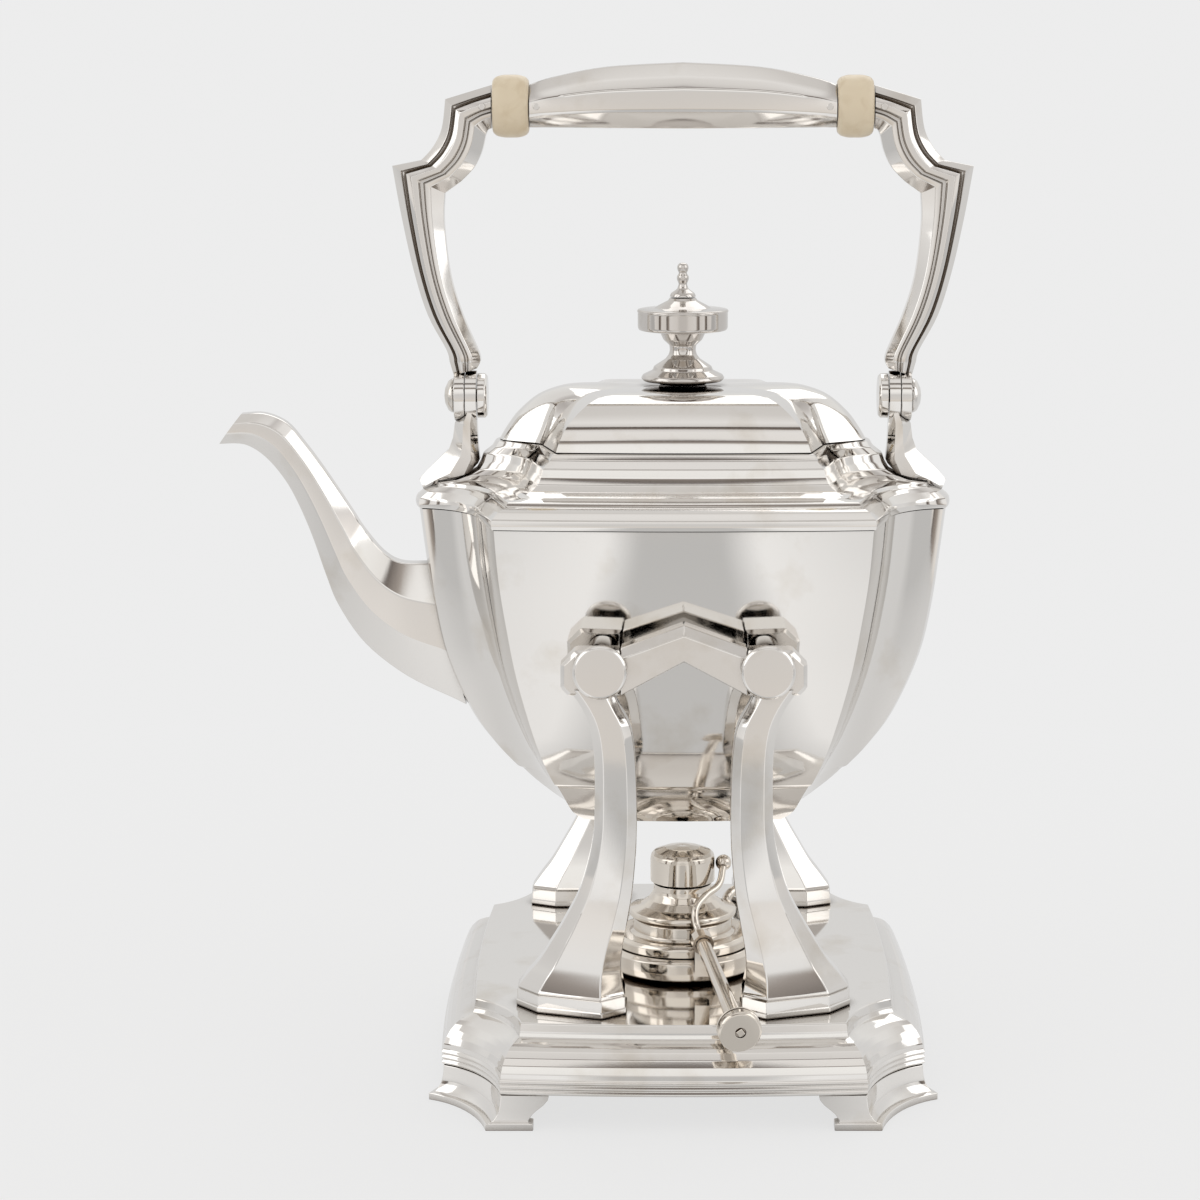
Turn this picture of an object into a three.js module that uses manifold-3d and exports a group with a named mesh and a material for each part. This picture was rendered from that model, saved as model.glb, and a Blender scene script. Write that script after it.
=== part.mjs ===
import * as THREE from 'three';
import Module from 'manifold-3d';
import { mergeVertices } from 'three/addons/utils/BufferGeometryUtils.js';

// Spirit kettle on its stand, in millimetres, +Z up, front at -Y and spout at -X.
// Every part is placed about the kettle's upright axis; the table is at Z 0.

const wasm = await Module();
wasm.setup();

// Values that many parts share
const clearance = 0.3;
const sheetWall = 1.6;
const overrun = 2;
const roundSides = 20;
const smallSides = 10;

// Base tray
const base = {
  frontCorner: [58, 94],
  endCorner: [75.8, 64.4],
  frontBow: 3,
  endBow: 1.9,
  height: 35.7,
  seamDrop: 3.1,
  footHeight: 13,
  topSheet: 2.8,
  borderReach: 11.8,
  reedDepth: 0.7,
  cornerShare: 0.59,
};
const traySeam = base.height - base.seamDrop;
const trayCeiling = base.height - base.topSheet;

// Bracket feet of the tray
const foot = {
  wing: 13,
  wall: 5,
  flare: 5.5,
};

// The four legs and their ears
const leg = {
  planeY: 75.5,
  frontY: 82,
  backY: 69.3,
  earThick: 11.4,
  earUp: 6.6,
  earDown: 9.7,
  earIn: 6.9,
  earOut: 14,
  earChamfer: 5.4,
  spreadFront: 90.3,
  spreadBack: 59.6,
  plinth: 4,
};

// Rows from the top of a leg down: height on the way to the pin, outer and inner side against the pin
const legRowShares = [
  [0.94, 1.386, 0.864],
  [0.888, 1.231, 0.763],
  [0.832, 1.132, 0.644],
  [0.761, 1.081, 0.59],
  [0.654, 1.071, 0.566],
  [0.509, 1.095, 0.566],
  [0.365, 1.241, 0.59],
  [0.267, 1.437, 0.614],
  [0.198, 1.607, 0.631],
  [0.14, 1.756, 0.647],
  [0.102, 1.912, 0.658],
  [0.044, 2.068, 0.678],
];
const legSpreadShares = [0, 0, 0, 0, 0, 0.03, 0.1, 0.22, 0.37, 0.55, 0.72, 0.95];

// Pins that carry the kettle
const pin = {
  x: 29.5,
  height: 161,
  shaft: 3,
  head: 9.6,
  headThick: 3,
  headFace: 88.8,
  tip: 65.2,
  neck: 4.4,
};

// Chevron crossbars between the ears
const crossbar = {
  rise: 8.3,
  crestUp: 11.8,
  bevel: 3.4,
  undersideUp: 2.5,
  undersideFall: 12,
};

const group = new THREE.Group();

const silver = { color: 0xd9d6d0, roughness: 0.12, metalness: 1 };
const ivory = { color: 0xd8c7a2, roughness: 0.4, metalness: 0 };
const cotton = { color: 0xe9e2d2, roughness: 0.95, metalness: 0 };

function addPart(name, geometry, finish = silver) {
  const mesh = new THREE.Mesh(geometry, new THREE.MeshStandardMaterial(finish));
  mesh.name = name;
  group.add(mesh);
}

// A triangle list as a geometry, turned so that its faces point out
function closedGeometry(triangles) {
  let volume = 0;
  for (const [a, b, c] of triangles) {
    volume += a.dot(b.clone().cross(c));
  }
  const flat = [];
  for (const [a, b, c] of triangles) {
    const corners = volume < 0 ? [a, c, b] : [a, b, c];
    for (const p of corners) {
      flat.push(p.x, p.y, p.z);
    }
  }
  const geometry = new THREE.BufferGeometry();
  geometry.setAttribute('position', new THREE.Float32BufferAttribute(flat, 3));
  return geometry;
}

function middleOf(points) {
  const sum = new THREE.Vector3();
  for (const p of points) {
    sum.add(p);
  }
  return sum.divideScalar(points.length);
}

function sideTriangles(lower, upper, triangles) {
  for (let i = 0; i < lower.length; i += 1) {
    const next = (i + 1) % lower.length;
    triangles.push([lower[i], lower[next], upper[next]]);
    triangles.push([lower[i], upper[next], upper[i]]);
  }
}

// Skin over a stack of rings with as many points each.
// A ring wall joins its last ring to its first, any other stack is capped.
function loft(rings, ringWall = false) {
  const triangles = [];
  for (let k = 0; k + 1 < rings.length; k += 1) {
    sideTriangles(rings[k], rings[k + 1], triangles);
  }
  const first = rings[0];
  const last = rings[rings.length - 1];
  if (ringWall) {
    sideTriangles(last, first, triangles);
    return closedGeometry(triangles);
  }
  const firstMiddle = middleOf(first);
  const lastMiddle = middleOf(last);
  for (let i = 0; i < first.length; i += 1) {
    const next = (i + 1) % first.length;
    triangles.push([firstMiddle, first[next], first[i]]);
    triangles.push([lastMiddle, last[i], last[next]]);
  }
  return closedGeometry(triangles);
}

// Skin over levels that each hold an outer and an inner line with as many points
function bandLoft(levels) {
  const triangles = [];
  const loops = levels.map(({ outer, inner }) => [...outer, ...[...inner].reverse()]);
  for (let k = 0; k + 1 < loops.length; k += 1) {
    sideTriangles(loops[k], loops[k + 1], triangles);
  }
  const first = levels[0];
  const last = levels[levels.length - 1];
  for (let i = 0; i + 1 < first.outer.length; i += 1) {
    triangles.push([first.outer[i], first.inner[i], first.inner[i + 1]]);
    triangles.push([first.outer[i], first.inner[i + 1], first.outer[i + 1]]);
    triangles.push([last.outer[i], last.inner[i + 1], last.inner[i]]);
    triangles.push([last.outer[i], last.outer[i + 1], last.inner[i + 1]]);
  }
  return closedGeometry(triangles);
}

function solidOf(geometry) {
  const bare = geometry.clone();
  bare.deleteAttribute('normal');
  bare.deleteAttribute('uv');
  const merged = mergeVertices(bare);
  const vertProperties = new Float32Array(merged.attributes.position.array);
  const triVerts = new Uint32Array(merged.index.array);
  return new wasm.Manifold(new wasm.Mesh({ numProp: 3, vertProperties, triVerts }));
}

function geometryOf(solid) {
  const { vertProperties, triVerts } = solid.getMesh();
  const geometry = new THREE.BufferGeometry();
  geometry.setAttribute('position', new THREE.Float32BufferAttribute(vertProperties, 3));
  geometry.setIndex(new THREE.Uint32BufferAttribute(triVerts, 1));
  return geometry;
}

function joined(...geometries) {
  return geometryOf(geometries.map(solidOf).reduce((whole, piece) => whole.add(piece)));
}

function cut(geometry, ...tools) {
  return geometryOf(tools.map(solidOf).reduce((rest, tool) => rest.subtract(tool), solidOf(geometry)));
}

// Solid of revolution along Z from radius and height pairs that start and end on the axis
function turned(profile, sides = roundSides) {
  const points = profile.map(([radius, height]) => new THREE.Vector2(radius, height));
  return new THREE.LatheGeometry(points, sides).rotateX(Math.PI / 2);
}

// Round bar from one point to another, with a radius at each end
function bar(from, to, startRadius, endRadius = startRadius, sides = smallSides) {
  const start = new THREE.Vector3(...from);
  const reach = new THREE.Vector3(...to).sub(start);
  const length = reach.length();
  const upright = turned([[0, 0], [startRadius, 0], [endRadius, length], [0, length]], sides);
  const turn = new THREE.Quaternion().setFromUnitVectors(new THREE.Vector3(0, 0, 1), reach.normalize());
  return upright.applyQuaternion(turn).translate(start.x, start.y, start.z);
}

// Block between two opposite corners
function block(low, high) {
  const size = high.map((value, axis) => value - low[axis]);
  const middle = high.map((value, axis) => (value + low[axis]) / 2);
  return new THREE.BoxGeometry(...size).translate(...middle);
}

// Copy mirrored across X and Y by signs, with its faces turned back out
function mirrored(geometry, signX, signY) {
  const loose = geometry.index ? geometry.toNonIndexed() : geometry.clone();
  const copy = loose.scale(signX, signY, 1);
  const place = copy.attributes.position;
  const triangles = [];
  for (let i = 0; i < place.count; i += 3) {
    triangles.push([0, 1, 2].map((k) => new THREE.Vector3().fromBufferAttribute(place, i + k)));
  }
  return closedGeometry(triangles);
}

const corners = [
  ['front_left', -1, -1],
  ['front_right', 1, -1],
  ['rear_left', -1, 1],
  ['rear_right', 1, 1],
];

// Closed plan line with bowed sides and scooped corners, at one height or two.
// plan: front [x, y] corner, step [x, y] where the scoop starts, end [x, y] corner.
const bowSteps = 2;
const scoopSteps = 4;

function planRing(plan) {
  const { front, step, end, frontBow, endBow, scoopShare } = plan;
  const frontZ = plan.z;
  const endZ = plan.endZ ?? plan.z;
  const quarter = [];
  for (let i = 0; i <= bowSteps; i += 1) {
    const t = i / bowSteps;
    quarter.push([front[0] * t, front[1] + frontBow * (1 - t * t), frontZ]);
  }
  const start = step ?? front;
  if (step) {
    quarter.push([...step, frontZ]);
  }
  for (let i = 1; i <= scoopSteps; i += 1) {
    const t = i / scoopSteps;
    const turn = t * Math.PI / 2;
    const straight = [start[0] + (end[0] - start[0]) * t, start[1] + (end[1] - start[1]) * t];
    const hollow = [
      end[0] - (end[0] - start[0]) * Math.cos(turn),
      start[1] + (end[1] - start[1]) * Math.sin(turn),
    ];
    quarter.push([
      straight[0] + (hollow[0] - straight[0]) * scoopShare,
      straight[1] + (hollow[1] - straight[1]) * scoopShare,
      frontZ + (endZ - frontZ) * t,
    ]);
  }
  quarter.push([end[0] + endBow, 0, endZ]);
  const back = [...quarter].reverse().slice(1);
  const right = [...quarter.map(([x, y, z]) => [x, -y, z]), ...back];
  const left = [...right].reverse().slice(1, -1).map(([x, y, z]) => [-x, y, z]);
  return [...right, ...left].map(([x, y, z]) => new THREE.Vector3(x, y, z));
}

// A plan drawn in or let out by a distance, square to its sides
function grown(plan, distance, z, endZ = z, cornerShare = 1) {
  const shift = ([x, y], shareX, shareY) => [x + distance * shareX, y + distance * shareY];
  return {
    ...plan,
    front: shift(plan.front, cornerShare, 1),
    step: plan.step ? shift(plan.step, 1, cornerShare) : undefined,
    end: shift(plan.end, 1, cornerShare),
    z,
    endZ,
  };
}

// A plan part of the way from one to another
function between(a, b, share, z) {
  const mix = (p, q) => p + (q - p) * share;
  const pair = (p, q) => [mix(p[0], q[0]), mix(p[1], q[1])];
  return {
    front: pair(a.front, b.front),
    step: pair(a.step, b.step),
    end: pair(a.end, b.end),
    frontBow: mix(a.frontBow, b.frontBow),
    endBow: mix(a.endBow, b.endBow),
    scoopShare: mix(a.scoopShare, b.scoopShare),
    z,
  };
}

const basePlan = {
  front: base.frontCorner,
  end: base.endCorner,
  frontBow: base.frontBow,
  endBow: base.endBow,
  scoopShare: 0.6,
};

// Hollow tray: raised plate, rounded border and three reeds, open underneath
function basePlate() {
  const ring = (offset, z) => planRing(grown(basePlan, offset, z, z, base.cornerShare));
  const reach = base.borderReach;
  const fall = traySeam - base.footHeight;
  const borderShares = [[0.96, 0.29], [0.85, 0.51], [0.57, 0.745], [0.31, 0.835]];
  const reeds = 3;
  const reedBand = fall * 0.29;
  const outside = [];
  for (let i = 0; i < reeds; i += 1) {
    const low = base.footHeight + reedBand * i / reeds;
    const crest = low + reedBand / reeds / 2;
    outside.push(ring(reach - base.reedDepth, low));
    outside.push(ring(reach, crest));
  }
  for (const [offsetShare, heightShare] of borderShares) {
    outside.push(ring(reach * offsetShare, base.footHeight + fall * heightShare));
  }
  outside.push(ring(0, traySeam));
  outside.push(ring(-sheetWall / 4, base.height - sheetWall / 4));
  outside.push(ring(-sheetWall / 2, base.height));
  const inside = [
    ring(-sheetWall - overrun, trayCeiling),
    ring(-sheetWall, traySeam - sheetWall),
    ring(reach * 0.57 - sheetWall, base.footHeight + fall * 0.62),
    ring(reach - base.reedDepth - sheetWall * 1.5, base.footHeight + reedBand),
    ring(reach - base.reedDepth - sheetWall * 1.5, base.footHeight),
  ];
  return loft([...inside, ...outside]);
}

// Foot with two wings and a hollow corner face that flares out towards the table
function bracketFoot() {
  const top = base.footHeight - clearance;
  const levelShares = [[1, 0], [0.7, 0.06], [0.45, 0.22], [0.23, 0.62], [0.2, 1], [0, 1]];
  const levels = levelShares.map(([heightShare, flareShare]) => {
    const z = top * heightShare;
    const flare = foot.flare * flareShare;
    const edge = planRing(grown(basePlan, base.borderReach - base.reedDepth, z, z, base.cornerShare));
    const corner = edge.slice(bowSteps, bowSteps + scoopSteps + 1);
    const away = (p) => new THREE.Vector3(p.x + flare, p.y - flare * 0.1, z);
    const wingShare = 1 - 0.35 * flareShare;
    const frontTip = new THREE.Vector3(corner[0].x - foot.wing * wingShare, corner[0].y, z);
    const sideTip = corner[corner.length - 1].clone();
    sideTip.y += foot.wing * wingShare;
    const outer = [frontTip, ...corner.map(away), sideTip];
    const inward = (p) => new THREE.Vector3(p.x - foot.wall, p.y + foot.wall, z);
    const inner = [
      new THREE.Vector3(frontTip.x, frontTip.y + foot.wall, z),
      ...corner.map(inward),
      new THREE.Vector3(sideTip.x - foot.wall, sideTip.y, z),
    ];
    return { outer, inner };
  });
  return bandLoft(levels);
}

addPart('base_plate', basePlate());
for (const [place, signX, signY] of corners) {
  addPart(`bracket_foot_${place}`, mirrored(bracketFoot(), signX, -signY));
}

// Rounded octagon of a leg at one height, drawn towards its wide foot by a share
function legRing(z, outer, inner, spread) {
  const middle = (leg.frontY + leg.backY) / 2;
  const shaft = (leg.frontY - leg.backY) / 2;
  const sideShares = [1, 1, 0.78, 0.25, 0, 0, 0.23, 0.75];
  const shaftShares = [-0.5, 0.55, 1, 1, 0.55, -0.5, -1, -1];
  const footShares = [-0.7, -0.2, 0.45, 1, 0.52, -0.35, -1, -1];
  const footMiddle = (leg.spreadFront + leg.spreadBack) / 2;
  const footHalf = (leg.spreadFront - leg.spreadBack) / 2;
  return sideShares.map((share, k) => {
    const shaftY = middle + shaft * shaftShares[k];
    const footY = footMiddle + footHalf * footShares[k];
    return new THREE.Vector3(inner + (outer - inner) * share, -(shaftY + (footY - shaftY) * spread), z);
  });
}

function pinBore(radius, from, to) {
  return bar([pin.x, -from, pin.height], [pin.x, -to, pin.height], radius, radius, roundSides);
}

// Leg with its spread foot below and the closed ear round the pin above
function kettleLeg() {
  const legRows = legRowShares.map(([heightShare, outerShare, innerShare]) => [
    base.height + (pin.height - base.height) * heightShare,
    pin.x * outerShare,
    pin.x * innerShare,
  ]);
  const rings = legRows.map(([z, outer, inner], k) => legRing(z, outer, inner, legSpreadShares[k]));
  const [, footOuter, footInner] = legRows[legRows.length - 1];
  const bottom = base.height + clearance;
  rings.push(legRing(bottom + leg.plinth, footOuter, footInner, 1));
  rings.push(legRing(bottom, footOuter, footInner, 1));
  const { earChamfer } = leg;
  const [earInner, earOuter] = [pin.x - leg.earIn, pin.x + leg.earOut];
  const [earTop, earBottom] = [pin.height + leg.earUp, pin.height - leg.earDown];
  const outline = [
    [earInner, earTop],
    [earOuter - earChamfer, earTop],
    [earOuter, earTop - earChamfer],
    [earOuter, earBottom + earChamfer / 2],
    [earOuter - earChamfer / 2, earBottom],
    [earInner, earBottom],
  ];
  const earMiddle = [(earInner + earOuter) / 2, (earTop + earBottom) / 2];
  const earRing = (y, drawIn) => outline.map(([x, z]) => new THREE.Vector3(
    x === earInner ? x : x - Math.sign(x - earMiddle[0]) * drawIn,
    -y,
    z - Math.sign(z - earMiddle[1]) * drawIn,
  ));
  const bevel = leg.earThick / 8;
  const front = leg.planeY + leg.earThick / 2;
  const back = leg.planeY - leg.earThick / 2;
  const ear = loft([earRing(front, bevel), earRing(front - bevel, 0), earRing(back + bevel, 0), earRing(back, bevel)]);
  const dish = pin.head * 0.75;
  return cut(
    joined(loft(rings), ear),
    pinBore(pin.shaft + clearance, front + overrun, back - overrun),
    pinBore(dish, front - bevel, front + overrun),
    pinBore(dish, back - overrun, back + bevel),
  );
}

// Bent bar with a bevelled crest and a matching hollow underneath
function chevron() {
  const half = pin.x - leg.earIn - clearance;
  const row = (y, lift, narrow) => ({
    outer: [
      new THREE.Vector3(-half, -y, (pin.height + crossbar.crestUp) + lift - crossbar.rise),
      new THREE.Vector3(0, -y, (pin.height + crossbar.crestUp) + lift),
      new THREE.Vector3(half, -y, (pin.height + crossbar.crestUp) + lift - crossbar.rise),
    ],
    inner: [
      new THREE.Vector3(-half, -y, (pin.height + crossbar.undersideUp) + narrow - crossbar.undersideFall),
      new THREE.Vector3(0, -y, (pin.height + crossbar.undersideUp) + narrow),
      new THREE.Vector3(half, -y, (pin.height + crossbar.undersideUp) + narrow - crossbar.undersideFall),
    ],
  });
  const front = leg.planeY + leg.earThick / 2;
  const back = leg.planeY - leg.earThick / 2;
  const { bevel } = crossbar;
  return bandLoft([row(front, 0, 0), row(front - bevel, bevel, 0), row(back, bevel, 0)]);
}

// Headed pin that pulls straight out of its ear
function kettlePin() {
  const behind = pin.headFace - pin.headThick;
  const rim = pin.headThick / 3;
  const length = pin.headFace - pin.tip;
  const profile = [
    [0, 0],
    [pin.shaft - rim, 0],
    [pin.shaft, rim],
    [pin.shaft, behind - pin.tip - rim],
    [pin.neck, behind - pin.tip - rim],
    [pin.head - rim, behind - pin.tip],
    [pin.head, behind - pin.tip + rim],
    [pin.head, length - rim],
    [pin.head - rim, length],
    [0, length],
  ];
  return turned(profile).rotateX(Math.PI / 2).translate(pin.x, -pin.tip, pin.height);
}

const nut = { radius: 5, height: 3.6, x: 41, y: 74 };

// Six-sided nut that draws a leg down on the tray from below
function legNut() {
  const top = trayCeiling - clearance;
  const crown = nut.height / 4;
  const profile = [
    [0, top - nut.height],
    [nut.radius - crown, top - nut.height],
    [nut.radius, top - nut.height + crown],
    [nut.radius, top],
    [0, top],
  ];
  return turned(profile, 6).translate(nut.x, -nut.y, 0);
}

for (const [place, signX, signY] of corners) {
  addPart(`leg_${place}`, mirrored(kettleLeg(), signX, -signY));
  addPart(`pin_${place}`, mirrored(kettlePin(), signX, -signY));
  addPart(`leg_nut_${place}`, mirrored(legNut(), signX, -signY));
}
addPart('crossbar_front', chevron());
addPart('crossbar_rear', mirrored(chevron(), 1, -1));

// Kettle body, shoulder and lid share these plans, drawn at the rim and at the lid's seam
const kettle = {
  floor: 93.3,
  rise: 114.4,
  wall: 1.8,
  shoulderRise: 24.9,
  lidRise: 22.6,
  lidWall: 1.8,
};
const kettleTop = kettle.floor + kettle.rise;
const seamHeight = kettleTop + kettle.shoulderRise;

const rimPlan = {
  front: [68, 66],
  step: [73.5, 44],
  end: [97.3, 12],
  frontBow: 3.5,
  endBow: 2,
  scoopShare: 0.85,
};

const seamPlan = {
  front: [45.8, 44],
  step: [51, 22],
  end: [66.5, 7],
  frontBow: 2,
  endBow: 1.5,
  scoopShare: 0.85,
};

// Lugs that hang the kettle on its pins
const lug = {
  radius: 5.6,
  face: 68.6,
  mouth: 4.9,
};

// Rows from the floor up: height, end corner across, front corner across, front corner deep
const bodyShares = [
  [0, 0.4, 0.54, 0.4],
  [0.035, 0.47, 0.6, 0.47],
  [0.099, 0.565, 0.65, 0.56],
  [0.213, 0.707, 0.74, 0.69],
  [0.325, 0.8, 0.8, 0.78],
  [0.512, 0.896, 0.88, 0.865],
  [0.676, 0.94, 0.93, 0.91],
  [0.843, 0.967, 0.97, 0.955],
  [1, 0.99, 0.99, 0.985],
];

function bodyPlan([heightShare, endShare, acrossShare, deepShare], z) {
  const { front, step, end } = rimPlan;
  const frontX = front[0] * acrossShare;
  const frontY = front[1] * deepShare;
  const endX = end[0] * endShare;
  const endY = end[1] * (deepShare + 1) / 2;
  const stepShareX = (step[0] - front[0]) / (end[0] - front[0]);
  const stepShareY = (step[1] - end[1]) / (front[1] - end[1]);
  return {
    ...rimPlan,
    front: [frontX, frontY],
    step: [frontX + (endX - frontX) * stepShareX, endY + (frontY - endY) * stepShareY],
    end: [endX, endY],
    scoopShare: rimPlan.scoopShare * Math.min(1, 0.25 + heightShare * 1.3),
    z,
  };
}

function bodyRings(letOut, lift) {
  return bodyShares.map((row) => {
    const z = kettle.floor + kettle.rise * row[0] + lift * (1 - row[0]);
    return planRing(grown(bodyPlan(row, z), letOut, z));
  });
}

// Spout stations from the root out: upper and lower point against the rim and the body, half width
const spoutStationShares = [
  [[-0.884, 0.816], [-0.761, 0.321], 1],
  [[-0.976, 0.81], [-0.869, 0.354], 0.979],
  [[-1.084, 0.814], [-1.066, 0.434], 0.936],
  [[-1.153, 0.849], [-1.223, 0.541], 0.872],
  [[-1.225, 0.924], [-1.324, 0.666], 0.809],
  [[-1.262, 0.975], [-1.371, 0.767], 0.766],
  [[-1.326, 1.059], [-1.421, 0.895], 0.723],
  [[-1.385, 1.135], [-1.472, 1.001], 0.691],
  [[-1.444, 1.204], [-1.523, 1.083], 0.67],
  [[-1.511, 1.27], [-1.596, 1.158], 0.681],
  [[-1.597, 1.302], [-1.675, 1.199], 0.713],
  [[-1.684, 1.3], [-1.772, 1.201], 0.745],
];
const spoutWidth = 9.4;
const spoutWall = 1.5;
const spoutSectionShares = [
  [1, -0.42], [0.72, -1], [0.38, -1], [0, -0.36], [0, 0.36], [0.38, 1], [0.72, 1], [1, 0.42],
];

// Faceted section between an upper and a lower point, drawn in by a wall
function pairRing([[upperX, upperZ], [lowerX, lowerZ], halfWidth], sectionShares, wall = 0) {
  const height = Math.hypot(upperX - lowerX, upperZ - lowerZ);
  const keep = (height - 2 * wall) / height;
  const middleX = (upperX + lowerX) / 2;
  const middleZ = (upperZ + lowerZ) / 2;
  return sectionShares.map(([along, across]) => {
    const place = (along - 0.5) * keep;
    return new THREE.Vector3(
      middleX + (upperX - lowerX) * place,
      (halfWidth - wall) * across,
      middleZ + (upperZ - lowerZ) * place,
    );
  });
}

// Stations from tables of shares: across a reach, up a rise from a floor, and of a depth
function stationsOf(shares, reach, floor, rise, depth) {
  const at = ([across, up]) => [reach * across, floor + rise * up];
  return shares.map(([upper, lower, deep]) => [at(upper), at(lower), depth * deep]);
}

function spoutRings(wall) {
  const stations = stationsOf(spoutStationShares, rimPlan.end[0], kettle.floor, kettle.rise, spoutWidth);
  return stations.map((station) => pairRing(station, spoutSectionShares, wall));
}

function spoutBore() {
  const rings = spoutRings(spoutWall);
  const inward = rings[0].map((p) => new THREE.Vector3(p.x + 2 * overrun, p.y, p.z));
  return loft([inward, ...rings.slice(0, 3)]);
}

// Depth of the body's front corner at the pins' height
function frontAtPins() {
  const share = (pin.height - kettle.floor) / kettle.rise;
  const above = bodyShares.findIndex(([heightShare]) => heightShare > share);
  const [low, high] = [bodyShares[above - 1], bodyShares[above]];
  const way = (share - low[0]) / (high[0] - low[0]);
  return rimPlan.front[1] * (low[3] + (high[3] - low[3]) * way);
}

function pinLug(signX, open) {
  const atPin = (radius, from, to) => pinBore(radius, from, to).translate(signX < 0 ? -2 * pin.x : 0, 0, 0);
  const boss = atPin(lug.radius, frontAtPins() - kettle.wall, lug.face);
  const blind = pin.tip - clearance;
  const bore = atPin(pin.shaft + clearance, blind, lug.face + overrun);
  if (!open) {
    return { boss, tools: [bore] };
  }
  const mouth = [[-1, 0, pin.shaft + clearance], [-1, -1, lug.mouth]];
  const slotRing = (y) => {
    const [upper, lower] = mouth.map(([, down, half]) => [half, down * (lug.radius + overrun)]);
    const corner = (side, [half, drop]) => new THREE.Vector3(signX * pin.x + side * half, -y, pin.height + drop);
    return [corner(-1, upper), corner(-1, lower), corner(1, lower), corner(1, upper)];
  };
  return { boss, tools: [bore, loft([slotRing(blind), slotRing(lug.face + overrun)])] };
}

// Open pot with four lugs: closed eyes on the pouring side, hooks on the other
function kettleBody() {
  const outside = bodyRings(0, 0);
  const inside = bodyRings(-kettle.wall, kettle.wall).filter((_, k) => k % 2 === 0).reverse();
  const lugs = [pinLug(-1, false), pinLug(1, true)];
  const both = lugs.flatMap(({ boss, tools }) => [
    { boss, tools },
    { boss: mirrored(boss, 1, -1), tools: tools.map((tool) => mirrored(tool, 1, -1)) },
  ]);
  const shell = cut(loft([...outside, ...inside]), spoutBore());
  const full = joined(shell, ...both.map(({ boss }) => boss));
  return cut(full, loft(inside), ...both.flatMap(({ tools }) => tools));
}

function spout() {
  const tube = loft([...spoutRings(0), ...spoutRings(spoutWall).reverse()], true);
  return cut(tube, loft(bodyRings(clearance, 0)));
}

// Shoulder levels from the lid's seam out to the rim: way out, height
const shoulderShares = [
  [-0.07, 1],
  [0, 1],
  [0.05, 0.992],
  [0.09, 0.904],
  [0.2, 0.795],
  [0.27, 0.631],
  [0.385, 0.494],
  [0.75, 0.382],
  [0.77, 0.325],
  [0.8, 0.317],
  [1, 0.157],
  [1.012, 0.084],
  [1, 0.012],
];
const shoulderLiningShares = [
  [0.94, 0.012],
  [0.92, 0.108],
  [0.7, 0.261],
  [0.36, 0.373],
  [0.2, 0.534],
  [0.12, 0.715],
  [-0.07, 0.904],
];

function shoulderRing([share, rise], lift = 0) {
  const height = kettleTop + kettle.shoulderRise * rise;
  return planRing(grown(between(seamPlan, rimPlan, share, height), lift, height + lift));
}

function shoulder() {
  return loft([...shoulderShares, ...shoulderLiningShares].map((row) => shoulderRing(row)), true);
}

// Room that the shoulder takes, with the clearance round it
function shoulderMass() {
  return loft(shoulderShares.slice(1).map((row) => shoulderRing(row, clearance)).reverse());
}

// Lid levels up from the seam: front corner, end corner, front height, end height
const lidShares = [
  [1, 1, 0, 0],
  [0.968, 0.958, 0.19, 0.21],
  [0.9, 0.9, 0.42, 0.44],
  [0.77, 0.78, 0.62, 0.76],
  [0.66, 0.67, 0.71, 0.94],
  [0.48, 0.48, 0.84, 0.99],
  [0.2, 0.2, 0.86, 0.87],
];

function lidRing([frontShare, endShare, frontRise, endRise], wall) {
  const scaled = ([x, y], share) => [x * share, y * share];
  const fade = Math.min(1, 0.3 + endShare);
  const z = seamHeight + clearance + kettle.lidRise * frontRise;
  const endZ = seamHeight + clearance + kettle.lidRise * endRise;
  const plan = {
    front: scaled(seamPlan.front, frontShare),
    step: scaled(seamPlan.step, (frontShare + endShare) / 2),
    end: scaled(seamPlan.end, endShare),
    frontBow: seamPlan.frontBow * frontShare,
    endBow: seamPlan.endBow * endShare,
    scoopShare: seamPlan.scoopShare * fade,
  };
  const drop = frontRise === 0 ? 0 : wall;
  return planRing(grown(plan, -wall, z - drop, endZ - drop));
}

// Domed lid, hollow underneath, with a scoop at each corner
function lid() {
  const outside = lidShares.map((row) => lidRing(row, 0));
  const inside = lidShares.map((row) => lidRing(row, kettle.lidWall)).reverse();
  return loft([...inside, ...outside]);
}

// Lid knob from the seat up: radius and height of each turn
const knob = {
  stem: 15.5,
  stemRise: 19.5,
  disc: 17,
  discRise: 12.3,
  tip: 4.9,
  tipRise: 12.6,
};
const lidCrown = seamHeight + clearance + kettle.lidRise * lidShares[lidShares.length - 1][3];
const stemSeat = lidCrown + clearance;
const discSeat = stemSeat + knob.stemRise + clearance;
const tipSeat = discSeat + knob.discRise + clearance;

const stemShares = [
  [0, 0],
  [0.568, 0],
  [0.594, 0.036],
  [0.942, 0.067],
  [1, 0.123],
  [0.955, 0.185],
  [0.723, 0.272],
  [0.69, 0.344],
  [0.413, 0.487],
  [0.31, 0.651],
  [0.323, 0.744],
  [0.465, 0.846],
  [0.555, 1],
  [0, 1],
];

const discShares = [
  [0, 0],
  [0.906, 0],
  [0.982, 0.073],
  [1, 0.268],
  [0.971, 0.48],
  [0.894, 0.545],
  [0.624, 0.642],
  [0.524, 0.756],
  [0.318, 0.919],
  [0.282, 1],
  [0, 1],
];

const tipShares = [
  [0, 0],
  [1, 0],
  [0.898, 0.103],
  [0.429, 0.23],
  [0.306, 0.373],
  [0.449, 0.5],
  [0.449, 0.595],
  [0.286, 0.69],
  [0.429, 0.802],
  [0.429, 0.905],
  [0.265, 0.976],
  [0, 1],
];

function knobPart(shares, radius, seat, rise) {
  return turned(shares.map(([across, up]) => [radius * across, seat + rise * up]));
}

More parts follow.
